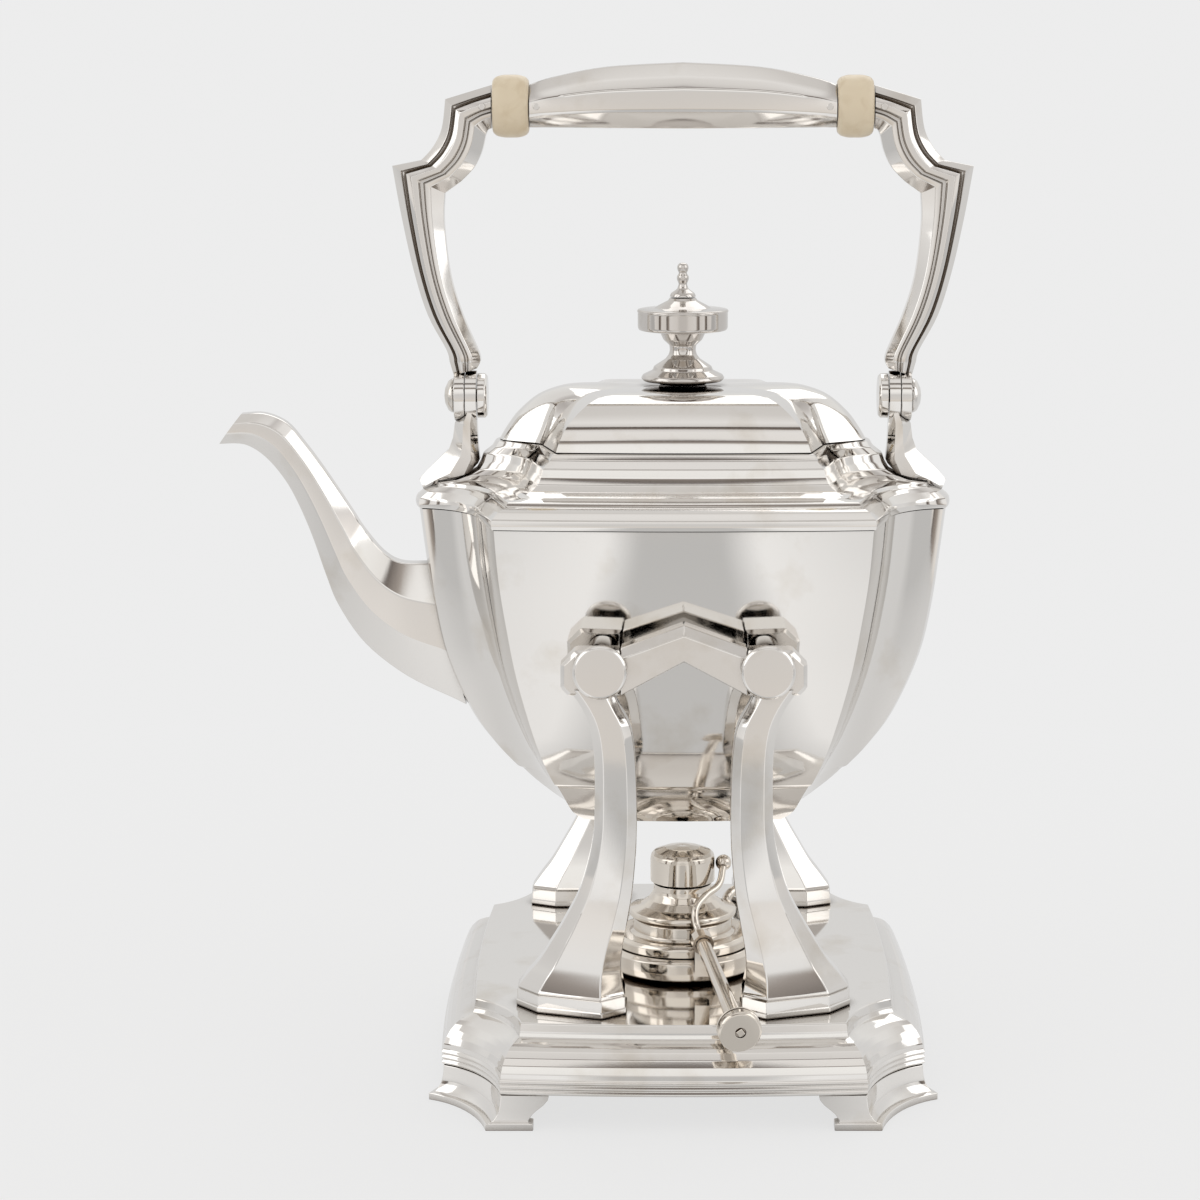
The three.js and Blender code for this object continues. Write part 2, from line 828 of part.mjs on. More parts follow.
const knobNut = { radius: 4.2, height: 3 };

function knobNutSolid() {
  const crown = lidShares[lidShares.length - 1][2] * kettle.lidRise;
  const top = seamHeight + crown - kettle.lidWall;
  return turned([[0, top - knobNut.height], [knobNut.radius, top - knobNut.height], [knobNut.radius, top], [0, top]], 6);
}

// Hinge behind the lid
const lidHinge = {
  behind: 2.9,
  above: 2.4,
  barrel: 1.9,
  pin: 0.9,
  middle: 5,
  width: 9,
  leaf: 1.2,
};
const hingeLine = [seamPlan.front[1] + seamPlan.frontBow + lidHinge.behind, seamHeight + lidHinge.above];

function hingeBarrel(from, to, radius) {
  return bar([from, ...hingeLine], [to, ...hingeLine], radius);
}

// Strip that follows points in the lengthwise plane, as wide as the hinge part it belongs to
function strip(points, thickness, fromX, toX) {
  const side = (x) => ({
    outer: points.map(([y, z]) => new THREE.Vector3(x, y, z + thickness)),
    inner: points.map(([y, z]) => new THREE.Vector3(x, y, z)),
  });
  return bandLoft([side(fromX), side(toX)]);
}

function shoulderLine([share, rise]) {
  const height = kettleTop + kettle.shoulderRise * rise;
  const { front, frontBow } = between(seamPlan, rimPlan, share, height);
  return [front[1] + frontBow + clearance, height + 1.5 * clearance];
}

function hingeLeaf() {
  const line = shoulderShares.slice(2, 6).map(shoulderLine);
  const { barrel, middle, width, leaf } = lidHinge;
  const reach = middle + clearance;
  const sides = [[-width, -reach], [reach, width]];
  const barrels = sides.map(([from, to]) => hingeBarrel(from, to, barrel));
  const plates = sides.map(([from, to]) => strip(line, leaf, from, to));
  const bridge = strip(line.slice(1), leaf, -width + leaf, width - leaf);
  const bores = hingeBarrel(-width - overrun, width + overrun, lidHinge.pin + clearance);
  return cut(joined(...plates, bridge, ...barrels), bores);
}

function hingeKnuckle() {
  const { barrel, middle, leaf } = lidHinge;
  const lidBack = lidShares.slice(1, 3).map(([frontShare, , rise]) => [
    (seamPlan.front[1] + seamPlan.frontBow) * frontShare + clearance,
    seamHeight + clearance + kettle.lidRise * rise,
  ]);
  const line = [hingeLine, ...lidBack];
  const tab = strip(line, leaf, -middle, middle);
  return cut(
    joined(tab, hingeBarrel(-middle, middle, barrel)),
    hingeBarrel(-middle - overrun, middle + overrun, lidHinge.pin + clearance),
    lidMass(),
  );
}

// Room that the lid takes, with the clearance round it
function lidMass() {
  return loft(lidShares.map((row) => lidRing(row, -clearance)));
}

addPart('kettle_body', kettleBody());
addPart('spout', spout());
addPart('shoulder', shoulder());
addPart('lid', lid());
addPart('knob_stem', knobPart(stemShares, knob.stem, stemSeat, knob.stemRise));
addPart('knob_disc', knobPart(discShares, knob.disc, discSeat, knob.discRise));
addPart('finial_tip', knobPart(tipShares, knob.tip, tipSeat, knob.tipRise));
addPart('knob_nut', knobNutSolid());
addPart('lid_hinge_leaf', hingeLeaf());
addPart('lid_hinge_knuckle', hingeKnuckle());
addPart('lid_hinge_pin', hingeBarrel(-lidHinge.width - clearance, lidHinge.width + clearance, lidHinge.pin));

// Bail handle: arm stations from the pivot up, each an outer point, an inner point and a half depth
const bail = {
  pivotRise: 40.9,
  gripRise: 106.3,
  armDepth: 8,
  ringInner: 56.3,
  ringOuter: 69.7,
  ringHigh: 11.4,
  ringDeep: 9.8,
  rivet: 1.1,
  armRivetOut: 3.5,
  gripRivetIn: 2.9,
};
const pivotHeight = kettleTop + bail.pivotRise;
const gripHeight = pivotHeight + bail.gripRise;

const armStationShares = [
  [[1.055, 0.06], [0.945, 0.08], 0.575],
  [[1.072, 0.121], [0.931, 0.117], 0.775],
  [[1.087, 0.164], [0.935, 0.152], 0.825],
  [[1.17, 0.284], [1.009, 0.284], 0.85],
  [[1.231, 0.437], [1.062, 0.422], 0.875],
  [[1.283, 0.622], [1.088, 0.598], 0.9],
  [[1.323, 0.797], [1.083, 0.704], 0.925],
  [[1.191, 0.817], [1.011, 0.742], 0.9],
  [[1.136, 0.862], [0.95, 0.79], 0.9],
  [[1.096, 0.926], [0.913, 0.847], 0.925],
  [[1.078, 1.024], [0.896, 0.901], 0.975],
  [[0.968, 1.05], [0.883, 0.92], 1],
  [[0.868, 1.072], [0.868, 0.925], 1],
];
const armSectionShares = [
  [1, -0.3], [0.78, -0.72], [0.6, -1], [0.28, -0.94], [0, -0.4],
  [0, 0.4], [0.28, 0.94], [0.6, 1], [0.78, 0.72], [1, 0.3],
];

// Grip stations from the middle out: distance, top, underside, half depth
const gripStationShares = [
  [0.995, 0.693, -0.675, 0.837],
  [0.853, 0.921, -0.675, 0.939],
  [0.497, 1.254, -0.693, 1.041],
  [0, 1.395, -0.711, 1.082],
];

// Pivot between bail and bracket: discs on a pin along X
const pivot = {
  x: 80.6,
  leafRadius: 9.3,
  leafThick: 4,
  innerCap: 8.3,
  outerCap: 6.4,
  pin: 2.4,
  capThick: 3.6,
};

function disc(from, to, radius, sides = roundSides) {
  return bar([from, 0, pivotHeight], [to, 0, pivotHeight], radius, radius, sides);
}

function rivetBore(x, radius) {
  const reach = bail.ringDeep + overrun;
  return bar([x, -reach, gripHeight], [x, reach, gripHeight], radius);
}

const armRivet = bail.ringOuter + bail.armRivetOut;
const gripRivet = bail.ringInner - bail.gripRivetIn;

// One side of the bail: knuckle leaf at the pivot, mitred arm and scooped upper corner
function bailArm() {
  const stations = stationsOf(armStationShares, pivot.x, pivotHeight, bail.gripRise, bail.armDepth);
  const arm = loft(stations.map((station) => pairRing(station, armSectionShares)));
  const inner = pivot.x + clearance / 2;
  const leaf = disc(inner, inner + pivot.leafThick, pivot.leafRadius);
  return cut(
    joined(arm, leaf),
    disc(pivot.x - pivot.leafThick - overrun, pivot.x - clearance / 2, pivot.leafRadius + clearance),
    disc(pivot.x - overrun, inner + pivot.leafThick + overrun, pivot.pin + clearance, smallSides),
    rivetBore(armRivet, bail.rivet + clearance),
  );
}

function bailGrip() {
  const ring = ([across, top, under, deep], side) => pairRing(
    [
      [side * bail.ringInner * across, gripHeight + bail.ringHigh * top],
      [side * bail.ringInner * across, gripHeight + bail.ringHigh * under],
      bail.ringDeep * deep,
    ],
    armSectionShares,
  );
  const left = gripStationShares.map((station) => ring(station, -1));
  const right = gripStationShares.slice(0, -1).reverse().map((station) => ring(station, 1));
  return cut(
    loft([...left, ...right]),
    rivetBore(-gripRivet, bail.rivet + clearance),
    rivetBore(gripRivet, bail.rivet + clearance),
  );
}

// Turned ring that keeps the heat of the arms from the grip
function insulatorRing() {
  const width = bail.ringOuter - bail.ringInner;
  const edge = width / 4;
  const neck = bail.ringHigh * 0.82;
  const profile = [
    [0, 0],
    [neck, 0],
    [bail.ringHigh * 0.95, edge / 2],
    [bail.ringHigh, edge * 1.2],
    [bail.ringHigh, width - edge * 1.2],
    [bail.ringHigh * 0.95, width - edge / 2],
    [neck, width],
    [0, width],
  ];
  const deepShare = bail.ringDeep / bail.ringHigh;
  return turned(profile).scale(1, deepShare, 1).rotateY(Math.PI / 2)
    .translate(bail.ringInner, 0, gripHeight);
}

function bailRivet(x) {
  const reach = bail.ringDeep - bail.rivet;
  return bar([x, -reach, gripHeight], [x, reach, gripHeight], bail.rivet);
}

// Bracket stations from the knuckle down to the leaf tip on the shoulder
const bracketStationShares = [
  [[0.998, 0.912], [0.949, 0.912], 0.925],
  [[1.05, 0.76], [0.948, 0.76], 0.95],
  [[1.06, 0.619], [0.943, 0.545], 0.8],
  [[1.079, 0.516], [0.935, 0.399], 0.85],
  [[1.132, 0.416], [0.98, 0.154], 0.925],
  [[1.179, 0.325], [1.092, 0.105], 0.625],
  [[1.218, 0.237], [1.179, 0.056], 0.2],
];

function bailBracket() {
  const stations = stationsOf(bracketStationShares, pivot.x, kettleTop, bail.pivotRise, bail.armDepth);
  const stem = loft(stations.map((station) => pairRing(station, armSectionShares)));
  const outer = pivot.x - clearance / 2;
  const leaf = disc(outer - pivot.leafThick, outer, pivot.leafRadius);
  return cut(
    joined(stem, leaf),
    disc(outer - pivot.leafThick - overrun, outer + overrun, pivot.pin + clearance, smallSides),
    disc(outer, outer + 2 * pivot.leafThick, pivot.leafRadius + clearance),
    shoulderMass(),
  );
}

function pivotPin() {
  const inner = pivot.x - clearance / 2 - pivot.leafThick - clearance;
  const outer = pivot.x + clearance / 2 + pivot.leafThick + clearance;
  const dome = pivot.capThick;
  const profile = [
    [0, inner - dome],
    [pivot.innerCap * 0.88, inner - dome],
    [pivot.innerCap, inner - dome * 0.75],
    [pivot.innerCap, inner],
    [pivot.pin, inner],
    [pivot.pin, outer],
    [pivot.outerCap, outer],
    [pivot.outerCap * 0.86, outer + dome * 0.55],
    [pivot.outerCap * 0.45, outer + dome * 0.9],
    [0, outer + dome],
  ];
  return turned(profile).rotateY(Math.PI / 2).translate(0, 0, pivotHeight);
}

for (const [side, sign] of [['left', -1], ['right', 1]]) {
  addPart(`bail_arm_${side}`, mirrored(bailArm(), sign, 1));
  addPart(`insulator_ring_${side}`, mirrored(insulatorRing(), sign, 1), ivory);
  addPart(`arm_rivet_${side}`, bailRivet(sign * armRivet));
  addPart(`grip_rivet_${side}`, bailRivet(sign * gripRivet));
  addPart(`bail_bracket_${side}`, mirrored(bailBracket(), sign, 1));
  addPart(`pivot_pin_${side}`, mirrored(pivotPin(), sign, 1));
}
addPart('bail_grip', bailGrip());

// Spirit lamp, which stands free on the tray
const lamp = {
  y: -22,
  reservoir: 27.8,
  reservoirRise: 9.2,
  upper: 25.2,
  upperRise: 4.5,
  collar: 18.5,
  collarRise: 6.3,
  flange: 20.2,
  flangeRise: 2.6,
  neck: 10.8,
  neckRise: 9.4,
  tube: 3.7,
  tubeRise: 5.2,
  wick: 2.5,
  wickRise: 6,
};
const lampBottom = base.height + clearance;
const reservoirTop = lampBottom + lamp.reservoirRise;
const upperTop = reservoirTop + lamp.upperRise;
const collarTop = upperTop + lamp.collarRise;
const flangeTop = collarTop + lamp.flangeRise;
const neckTop = flangeTop + lamp.neckRise;

function lampPiece(profile, sides = roundSides) {
  return turned(profile, sides).translate(0, lamp.y, 0);
}

function lampReservoir() {
  const round = (reservoirTop - lampBottom) / 5;
  return lampPiece([
    [0, lampBottom],
    [lamp.reservoir - round, lampBottom],
    [lamp.reservoir, lampBottom + round],
    [lamp.reservoir, reservoirTop - round],
    [lamp.reservoir - round, reservoirTop],
    [0, reservoirTop],
  ]);
}

function lampShoulder() {
  const low = reservoirTop + clearance;
  const round = (upperTop - low) / 4;
  return lampPiece([
    [0, low],
    [lamp.upper, low],
    [lamp.upper, upperTop - round],
    [lamp.upper - round, upperTop],
    [lamp.collar + round, upperTop],
    [lamp.collar, upperTop + round],
    [lamp.collar, collarTop - round],
    [lamp.collar - round, collarTop],
    [0, collarTop],
  ]);
}

function burnerCone() {
  const low = collarTop + clearance;
  const reach = lamp.flange - lamp.neck;
  return lampPiece([
    [0, low],
    [lamp.flange - clearance, low],
    [lamp.flange, (low + flangeTop) / 2],
    [lamp.flange - clearance, flangeTop],
    [lamp.neck + reach * 0.5, flangeTop + lamp.neckRise * 0.16],
    [lamp.neck + reach * 0.2, flangeTop + lamp.neckRise * 0.4],
    [lamp.neck, flangeTop + lamp.neckRise * 0.72],
    [lamp.neck, neckTop],
    [0, neckTop],
  ]);
}

function wickTube() {
  const low = neckTop + clearance;
  const bore = lamp.wick + clearance;
  return lampPiece([
    [bore, low],
    [lamp.tube, low],
    [lamp.tube, neckTop + lamp.tubeRise],
    [bore, neckTop + lamp.tubeRise],
    [bore, low],
  ], smallSides);
}

function wick() {
  const round = lamp.wick / 4;
  return lampPiece([
    [0, neckTop + clearance],
    [lamp.wick, neckTop + clearance],
    [lamp.wick, neckTop + lamp.wickRise - round],
    [lamp.wick - round, neckTop + lamp.wickRise],
    [0, neckTop + lamp.wickRise],
  ], smallSides);
}

// Snuffer: cap on a bent wire that runs through the handle tube to the knob in front
const snuffer = {
  cap: 12,
  wall: 1,
  lift: 1,
  skirt: 9.1,
  crown: 4.3,
  ball: 3,
  ballRise: 6.6,
  wire: 1.3,
};
const capLow = neckTop + snuffer.lift;
const capShoulder = capLow + snuffer.skirt;
const capTop = capShoulder + snuffer.crown;

const handle = {
  start: [5.9, -47.4],
  startUp: 5.3,
  end: [18.3, -122],
  fall: 11.2,
  radius: 2.7,
  dish: 7.7,
  knob: 7.6,
  knobThick: 4,
  peg: 2,
};
const handleStart = [...handle.start, upperTop + handle.startUp];
const handleEnd = [...handle.end, handleStart[2] - handle.fall];

function snufferCap() {
  const inner = snuffer.cap - snuffer.wall;
  return lampPiece([
    [inner, capLow],
    [snuffer.cap, capLow],
    [snuffer.cap, capShoulder],
    [snuffer.cap * 0.93, capShoulder + snuffer.crown * 0.4],
    [snuffer.cap * 0.55, capShoulder + snuffer.crown * 0.82],
    [0, capTop],
    [0, capTop - snuffer.wall],
    [inner * 0.55, capShoulder + snuffer.crown * 0.82 - snuffer.wall],
    [inner, capShoulder],
    [inner, capLow],
  ]);
}

const ballPlace = [snuffer.cap + snuffer.ball + clearance, lamp.y, capLow + snuffer.ballRise];

function capBall() {
  return new THREE.SphereGeometry(snuffer.ball, smallSides, smallSides / 2).translate(...ballPlace);
}

const handleWay = new THREE.Vector3(...handleEnd).sub(new THREE.Vector3(...handleStart)).normalize();

// Point along the handle's line from its rear end
function alongHandle(distance) {
  return new THREE.Vector3(...handleStart).addScaledVector(handleWay, distance).toArray();
}

const handleLength = new THREE.Vector3(...handleEnd).distanceTo(new THREE.Vector3(...handleStart));
const dishThick = handle.knobThick * 0.5;
const knobStart = handleLength + dishThick + clearance;

// Way of the wire from the ball to the handle along each axis
const wireShares = [
  [0.021, 0.134, 0.049],
  [0.202, 0.339, 0.301],
  [0.734, 0.535, 0.447],
  [1.138, 0.732, 0.66],
];

// Bent wire from the cap's ball to the handle, then straight through it
function snufferArm() {
  const wirePoints = [
    ...wireShares.map((row) => row.map((share, k) => ballPlace[k] + (handleStart[k] - ballPlace[k]) * share)),
    alongHandle(-overrun),
    alongHandle(overrun),
  ];
  const path = new THREE.CatmullRomCurve3(wirePoints.map((p) => new THREE.Vector3(...p)));
  const circle = new THREE.Shape().absarc(0, 0, snuffer.wire, 0, 2 * Math.PI);
  const bent = new THREE.ExtrudeGeometry(circle, { steps: 16, curveSegments: 4, extrudePath: path });
  return joined(bent, bar(alongHandle(0), alongHandle(knobStart - clearance), snuffer.wire));
}

function handleTube() {
  const bore = snuffer.wire + clearance;
  const [from, to] = [alongHandle(overrun), alongHandle(handleLength)];
  const hollow = bar(alongHandle(0), alongHandle(handleLength + overrun), bore);
  return cut(bar(from, to, handle.radius, handle.radius * 1.1, roundSides), hollow);
}

function handleDish() {
  const [from, to] = [alongHandle(handleLength + clearance), alongHandle(handleLength + dishThick)];
  const hollow = bar(alongHandle(handleLength - overrun), alongHandle(knobStart + overrun), snuffer.wire + clearance);
  return cut(bar(from, to, handle.radius, handle.dish, roundSides), hollow);
}

function snufferKnob() {
  const rim = handle.knobThick / 4;
  const end = knobStart + handle.knobThick;
  return joined(
    bar(alongHandle(knobStart), alongHandle(end - rim), handle.knob, handle.knob, roundSides),
    bar(alongHandle(end - 2 * rim), alongHandle(end), handle.knob, handle.knob - rim, roundSides),
  );
}

function knobPeg() {
  const end = knobStart + handle.knobThick + clearance;
  return bar(alongHandle(end), alongHandle(end + handle.peg / 3), handle.peg, handle.peg, 4);
}

// Saddle that carries the handle tube on the front of the lamp
function tubeBracket() {
  const collarFrom = 2 * overrun;
  const collar = bar(alongHandle(collarFrom), alongHandle(collarFrom + 2 * handle.radius), 1.5 * handle.radius);
  const [x, y, z] = alongHandle(collarFrom + handle.radius);
  const back = lamp.y - lamp.reservoir * 0.7;
  const neck = block(
    [x - handle.radius, y - handle.radius / 2, reservoirTop - 2 * overrun],
    [x + handle.radius, back, z - handle.radius / 2],
  );
  const lampRoom = lampPiece([
    [0, lampBottom],
    [lamp.reservoir + clearance, lampBottom],
    [lamp.reservoir + clearance, reservoirTop + clearance],
    [lamp.upper + clearance, reservoirTop + clearance],
    [lamp.upper + clearance, collarTop + overrun],
    [0, collarTop + overrun],
  ]);
  const tubeRoom = bar(alongHandle(0), alongHandle(handleLength / 2), handle.radius + clearance);
  return cut(joined(collar, neck), lampRoom, tubeRoom);
}

// Curved lift handle at the rear right of the lamp
function lampHandle() {
  const wayX = Math.SQRT1_2;
  const profile = [
    [lamp.collar + 2 * overrun, upperTop + clearance],
    [lamp.upper, flangeTop],
    [lamp.reservoir + 2 * overrun, flangeTop],
    [lamp.reservoir + 3 * overrun, upperTop],
    [lamp.reservoir + 2 * overrun, (reservoirTop + lampBottom) / 2],
  ];
  const path = new THREE.CatmullRomCurve3(profile.map(
    ([radius, z]) => new THREE.Vector3(radius * wayX, lamp.y + radius * wayX, z),
  ));
  const circle = new THREE.Shape().absarc(0, 0, snuffer.wire * 1.4, 0, 2 * Math.PI);
  const bow = new THREE.ExtrudeGeometry(circle, { steps: 12, curveSegments: 4, extrudePath: path });
  const low = (reservoirTop + lampBottom) / 2;
  const reach = (radius) => [radius * wayX, lamp.y + radius * wayX, low];
  const stub = bar(reach(lamp.reservoir + clearance), reach(lamp.reservoir + 2 * overrun), snuffer.wire * 1.4);
  const shoulderRoom = lampPiece([
    [0, lampBottom],
    [lamp.upper + clearance, lampBottom],
    [lamp.upper + clearance, upperTop + clearance],
    [0, upperTop + clearance],
  ]);
  return cut(joined(bow, stub), shoulderRoom);
}

addPart('lamp_reservoir', lampReservoir());
addPart('lamp_shoulder', lampShoulder());
addPart('burner_cone', burnerCone());
addPart('wick_tube', wickTube());
addPart('wick', wick(), cotton);
addPart('snuffer_cap', snufferCap());
addPart('cap_ball', capBall());
addPart('snuffer_arm', snufferArm());
addPart('handle_tube', handleTube());
addPart('handle_dish', handleDish());
addPart('snuffer_knob', snufferKnob());
addPart('knob_peg', knobPeg());
addPart('tube_bracket', tubeBracket());
addPart('lamp_handle', lampHandle());

// The origin is the middle of the foot of the whole object
const bounds = new THREE.Box3().setFromObject(group);
const middle = bounds.getCenter(new THREE.Vector3());
group.position.set(-middle.x, -middle.y, -bounds.min.z);

export default group;
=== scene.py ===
import bpy
import math
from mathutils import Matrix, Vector


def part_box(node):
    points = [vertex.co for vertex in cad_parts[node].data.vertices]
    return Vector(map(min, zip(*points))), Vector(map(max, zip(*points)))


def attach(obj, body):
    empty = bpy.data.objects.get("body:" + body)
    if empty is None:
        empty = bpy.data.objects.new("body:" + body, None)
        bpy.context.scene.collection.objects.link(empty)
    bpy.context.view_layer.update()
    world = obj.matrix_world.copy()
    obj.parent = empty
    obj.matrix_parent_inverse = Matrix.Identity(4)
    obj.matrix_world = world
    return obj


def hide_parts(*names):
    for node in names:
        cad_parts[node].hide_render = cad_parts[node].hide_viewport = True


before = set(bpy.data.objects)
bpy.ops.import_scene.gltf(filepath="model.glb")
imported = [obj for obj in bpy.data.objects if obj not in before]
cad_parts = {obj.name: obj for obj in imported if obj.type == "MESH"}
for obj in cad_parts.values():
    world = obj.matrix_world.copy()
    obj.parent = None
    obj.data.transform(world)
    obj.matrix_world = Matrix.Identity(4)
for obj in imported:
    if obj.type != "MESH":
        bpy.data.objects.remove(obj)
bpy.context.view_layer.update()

# The kettle's upright axis is where the body's box has its middle
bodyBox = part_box("kettle_body")
axisX = (bodyBox[0][0] + bodyBox[1][0]) / 2
axisY = (bodyBox[0][1] + bodyBox[1][1]) / 2
mm = 0.001
gap = 0.3
cornerSigns = {
    "front_left": (-1, 1),
    "front_right": (1, 1),
    "rear_left": (-1, -1),
    "rear_right": (1, -1),
}
sideSigns = {"left": -1, "right": 1}


def place(x, y, z):
    return Vector((axisX + x * mm, axisY + y * mm, z * mm))


# Node trees of finishes, wires and surround are put together by these


def addNode(tree, kind, values=None, **settings):
    node = tree.nodes.new(kind)
    for key, setting in settings.items():
        setattr(node, key, setting)
    for socket, value in (values or {}).items():
        node.inputs[socket].default_value = value
    return node


def join(tree, *pairs):
    for source, output, target, entry in pairs:
        tree.links.new(source.outputs[output], target.inputs[entry])


def addSocket(tree, name, direction, kind):
    return tree.interface.new_socket(name=name, in_out=direction, socket_type=kind).identifier


def rampNode(tree, tones):
    ramp = addNode(tree, "ShaderNodeValToRGB")
    elements = ramp.color_ramp.elements
    elements[0].position, elements[1].position = tones[0][0], tones[-1][0]
    elements[0].color, elements[1].color = (*tones[0][1], 1), (*tones[-1][1], 1)
    for position, colour in tones[1:-1]:
        elements.new(position).color = (*colour, 1)
    return ramp


def grey(tone):
    return (tone,) * 3 + (1,)


def newMaterial(name, values):
    material = bpy.data.materials.new(name)
    material.use_nodes = True
    tree = material.node_tree
    tree.nodes.clear()
    output = addNode(tree, "ShaderNodeOutputMaterial")
    shader = addNode(tree, "ShaderNodeBsdfPrincipled", values)
    join(tree, (shader, "BSDF", output, "Surface"))
    return material, tree, shader


# Silver: clouds of tarnish, fine scratches, and painted shade that darkens it where surfaces meet

polish = {
    "cloudScale": 38,
    "cloudDetail": 6,
    "tarnishFrom": 0.56,
    "tarnishTo": 0.8,
    "stretch": (9, 9, 1.2),
    "scratchScale": 420,
    "scratchDetail": 3,
    "scratchDepth": 0.0002,
    # Samples and range of the occlusion mask that lays painted shade where surfaces meet
    "paintedShadeSamples": 6,
    "paintedShadeFrom": 0.25,
    "paintedShadeTo": 0.8,
}
# Each finish's seam colour is painted shade, laid in hollows and where surfaces meet
silverFinish = {
    "polishedSilver": {
        "clear": (0.79, 0.768, 0.74), "worn": (0.66, 0.61, 0.54), "low": 0.03, "high": 0.09, "bump": 0.012,
        "seam": (0.11, 0.08, 0.055), "paintedShadeReach": 0.006,
    },
    "lampSilver": {
        "clear": (0.73, 0.675, 0.605), "worn": (0.54, 0.45, 0.35), "low": 0.05, "high": 0.12, "bump": 0.018,
        "seam": (0.13, 0.09, 0.06), "paintedShadeReach": 0.004,
    },
    "knobSilver": {
        "clear": (0.63, 0.6, 0.57), "worn": (0.46, 0.42, 0.36), "low": 0.03, "high": 0.09, "bump": 0.012,
        "seam": (0.1, 0.07, 0.05), "paintedShadeReach": 0.005,
    },
}


def polishGroup():
    tree = bpy.data.node_groups.new("polishMarks", "ShaderNodeTree")
    for name in ("Scale", "Low", "High"):
        addSocket(tree, name, "INPUT", "NodeSocketFloat")
    for name in ("Roughness", "Height", "Tarnish"):
        addSocket(tree, name, "OUTPUT", "NodeSocketFloat")
    enter, leave = addNode(tree, "NodeGroupInput"), addNode(tree, "NodeGroupOutput")
    coordinate = addNode(tree, "ShaderNodeTexCoord")
    cloud = addNode(tree, "ShaderNodeTexNoise", {"Detail": polish["cloudDetail"]})
    stretched = addNode(tree, "ShaderNodeMapping", {"Scale": polish["stretch"]})
    scratchValues = {"Scale": polish["scratchScale"], "Detail": polish["scratchDetail"]}
    scratch = addNode(tree, "ShaderNodeTexNoise", scratchValues)
    spread = addNode(tree, "ShaderNodeMapRange")
    tarnishValues = {"From Min": polish["tarnishFrom"], "From Max": polish["tarnishTo"]}
    tarnish = addNode(tree, "ShaderNodeMapRange", tarnishValues)
    join(
        tree,
        (coordinate, "Object", cloud, "Vector"), (coordinate, "Object", stretched, "Vector"),
        (stretched, "Vector", scratch, "Vector"), (enter, "Scale", cloud, "Scale"),
        (cloud, "Fac", spread, "Value"), (enter, "Low", spread, "To Min"), (enter, "High", spread, "To Max"),
        (cloud, "Fac", tarnish, "Value"), (spread, "Result", leave, "Roughness"),
        (scratch, "Fac", leave, "Height"), (tarnish, "Result", leave, "Tarnish"),
    )
    return tree


polishMarks = polishGroup()


def silverMaterial(name):
    finish = silverFinish[name]
    material, tree, shader = newMaterial(name, {"Metallic": 1})
    levels = {"Scale": polish["cloudScale"], "Low": finish["low"], "High": finish["high"]}
    marks = addNode(tree, "ShaderNodeGroup", levels, node_tree=polishMarks)
    colours = {"A": (*finish["clear"], 1), "B": (*finish["worn"], 1)}
    blend = addNode(tree, "ShaderNodeMix", colours, data_type="RGBA")
    # Painted shade: an occlusion mask pulls the colour towards the dark seam colour in hollows and where surfaces meet
    reach = {"Distance": finish["paintedShadeReach"]}
    paintedShadeMask = addNode(tree, "ShaderNodeAmbientOcclusion", reach, samples=polish["paintedShadeSamples"])
    depth = addNode(tree, "ShaderNodeMapRange", {"From Min": polish["paintedShadeFrom"], "From Max": polish["paintedShadeTo"]})
    shade = addNode(tree, "ShaderNodeMix", {"A": (*finish["seam"], 1)}, data_type="RGBA")
    bump = addNode(tree, "ShaderNodeBump", {"Strength": finish["bump"], "Distance": polish["scratchDepth"]})
    join(
        tree,
        (marks, "Tarnish", blend, "Factor"), (paintedShadeMask, "AO", depth, "Value"), (depth, "Result", shade, "Factor"),
        (blend, "Result", shade, "B"), (shade, "Result", shader, "Base Color"),
        (marks, "Roughness", shader, "Roughness"), (marks, "Height", bump, "Height"),
        (bump, "Normal", shader, "Normal"),
    )
    return material


ivory = {
    "grain": {"Scale": 160, "Distortion": 0.6, "Detail": 4},
    "tones": [(0, (0.56, 0.44, 0.28)), (0.55, (0.72, 0.62, 0.46))],
    "bump": {"Strength": 0.08, "Distance": 0.0002},
    "roughness": 0.32,
}
cotton = {
    "scale": 900,
    "tones": [(0, (0.45, 0.42, 0.36)), (1, (0.86, 0.83, 0.76))],
    "roughness": 0.95,
}


def ivoryMaterial():
    material, tree, shader = newMaterial("agedIvory", {"Roughness": ivory["roughness"]})
    coordinate = addNode(tree, "ShaderNodeTexCoord")
    grain = addNode(tree, "ShaderNodeTexNoise", ivory["grain"])
    ramp = rampNode(tree, ivory["tones"])
    bump = addNode(tree, "ShaderNodeBump", ivory["bump"])
    join(
        tree,
        (coordinate, "Object", grain, "Vector"), (grain, "Fac", ramp, "Fac"), (grain, "Fac", bump, "Height"),
        (bump, "Normal", shader, "Normal"), (ramp, "Color", shader, "Base Color"),
    )
    return material


def cottonMaterial():
    material, tree, shader = newMaterial("braidedCotton", {"Roughness": cotton["roughness"]})
    coordinate = addNode(tree, "ShaderNodeTexCoord")
    braid = addNode(tree, "ShaderNodeTexWave", {"Scale": cotton["scale"]}, bands_direction="DIAGONAL")
    ramp = rampNode(tree, cotton["tones"])
    join(
        tree,
        (coordinate, "Object", braid, "Vector"), (braid, "Fac", ramp, "Fac"),
        (ramp, "Color", shader, "Base Color"),
    )
    return material


silver, lampSilver, knobSilver = (silverMaterial(name) for name in silverFinish)
agedIvory = ivoryMaterial()
braidedCotton = cottonMaterial()
print("finishes ready")

# Mesh tools: every piece is a skin over rings of points in millimetres about the axis

shading = {"flatWeight": 60, "bevelSegments": 2, "leastRadius": 0.02}


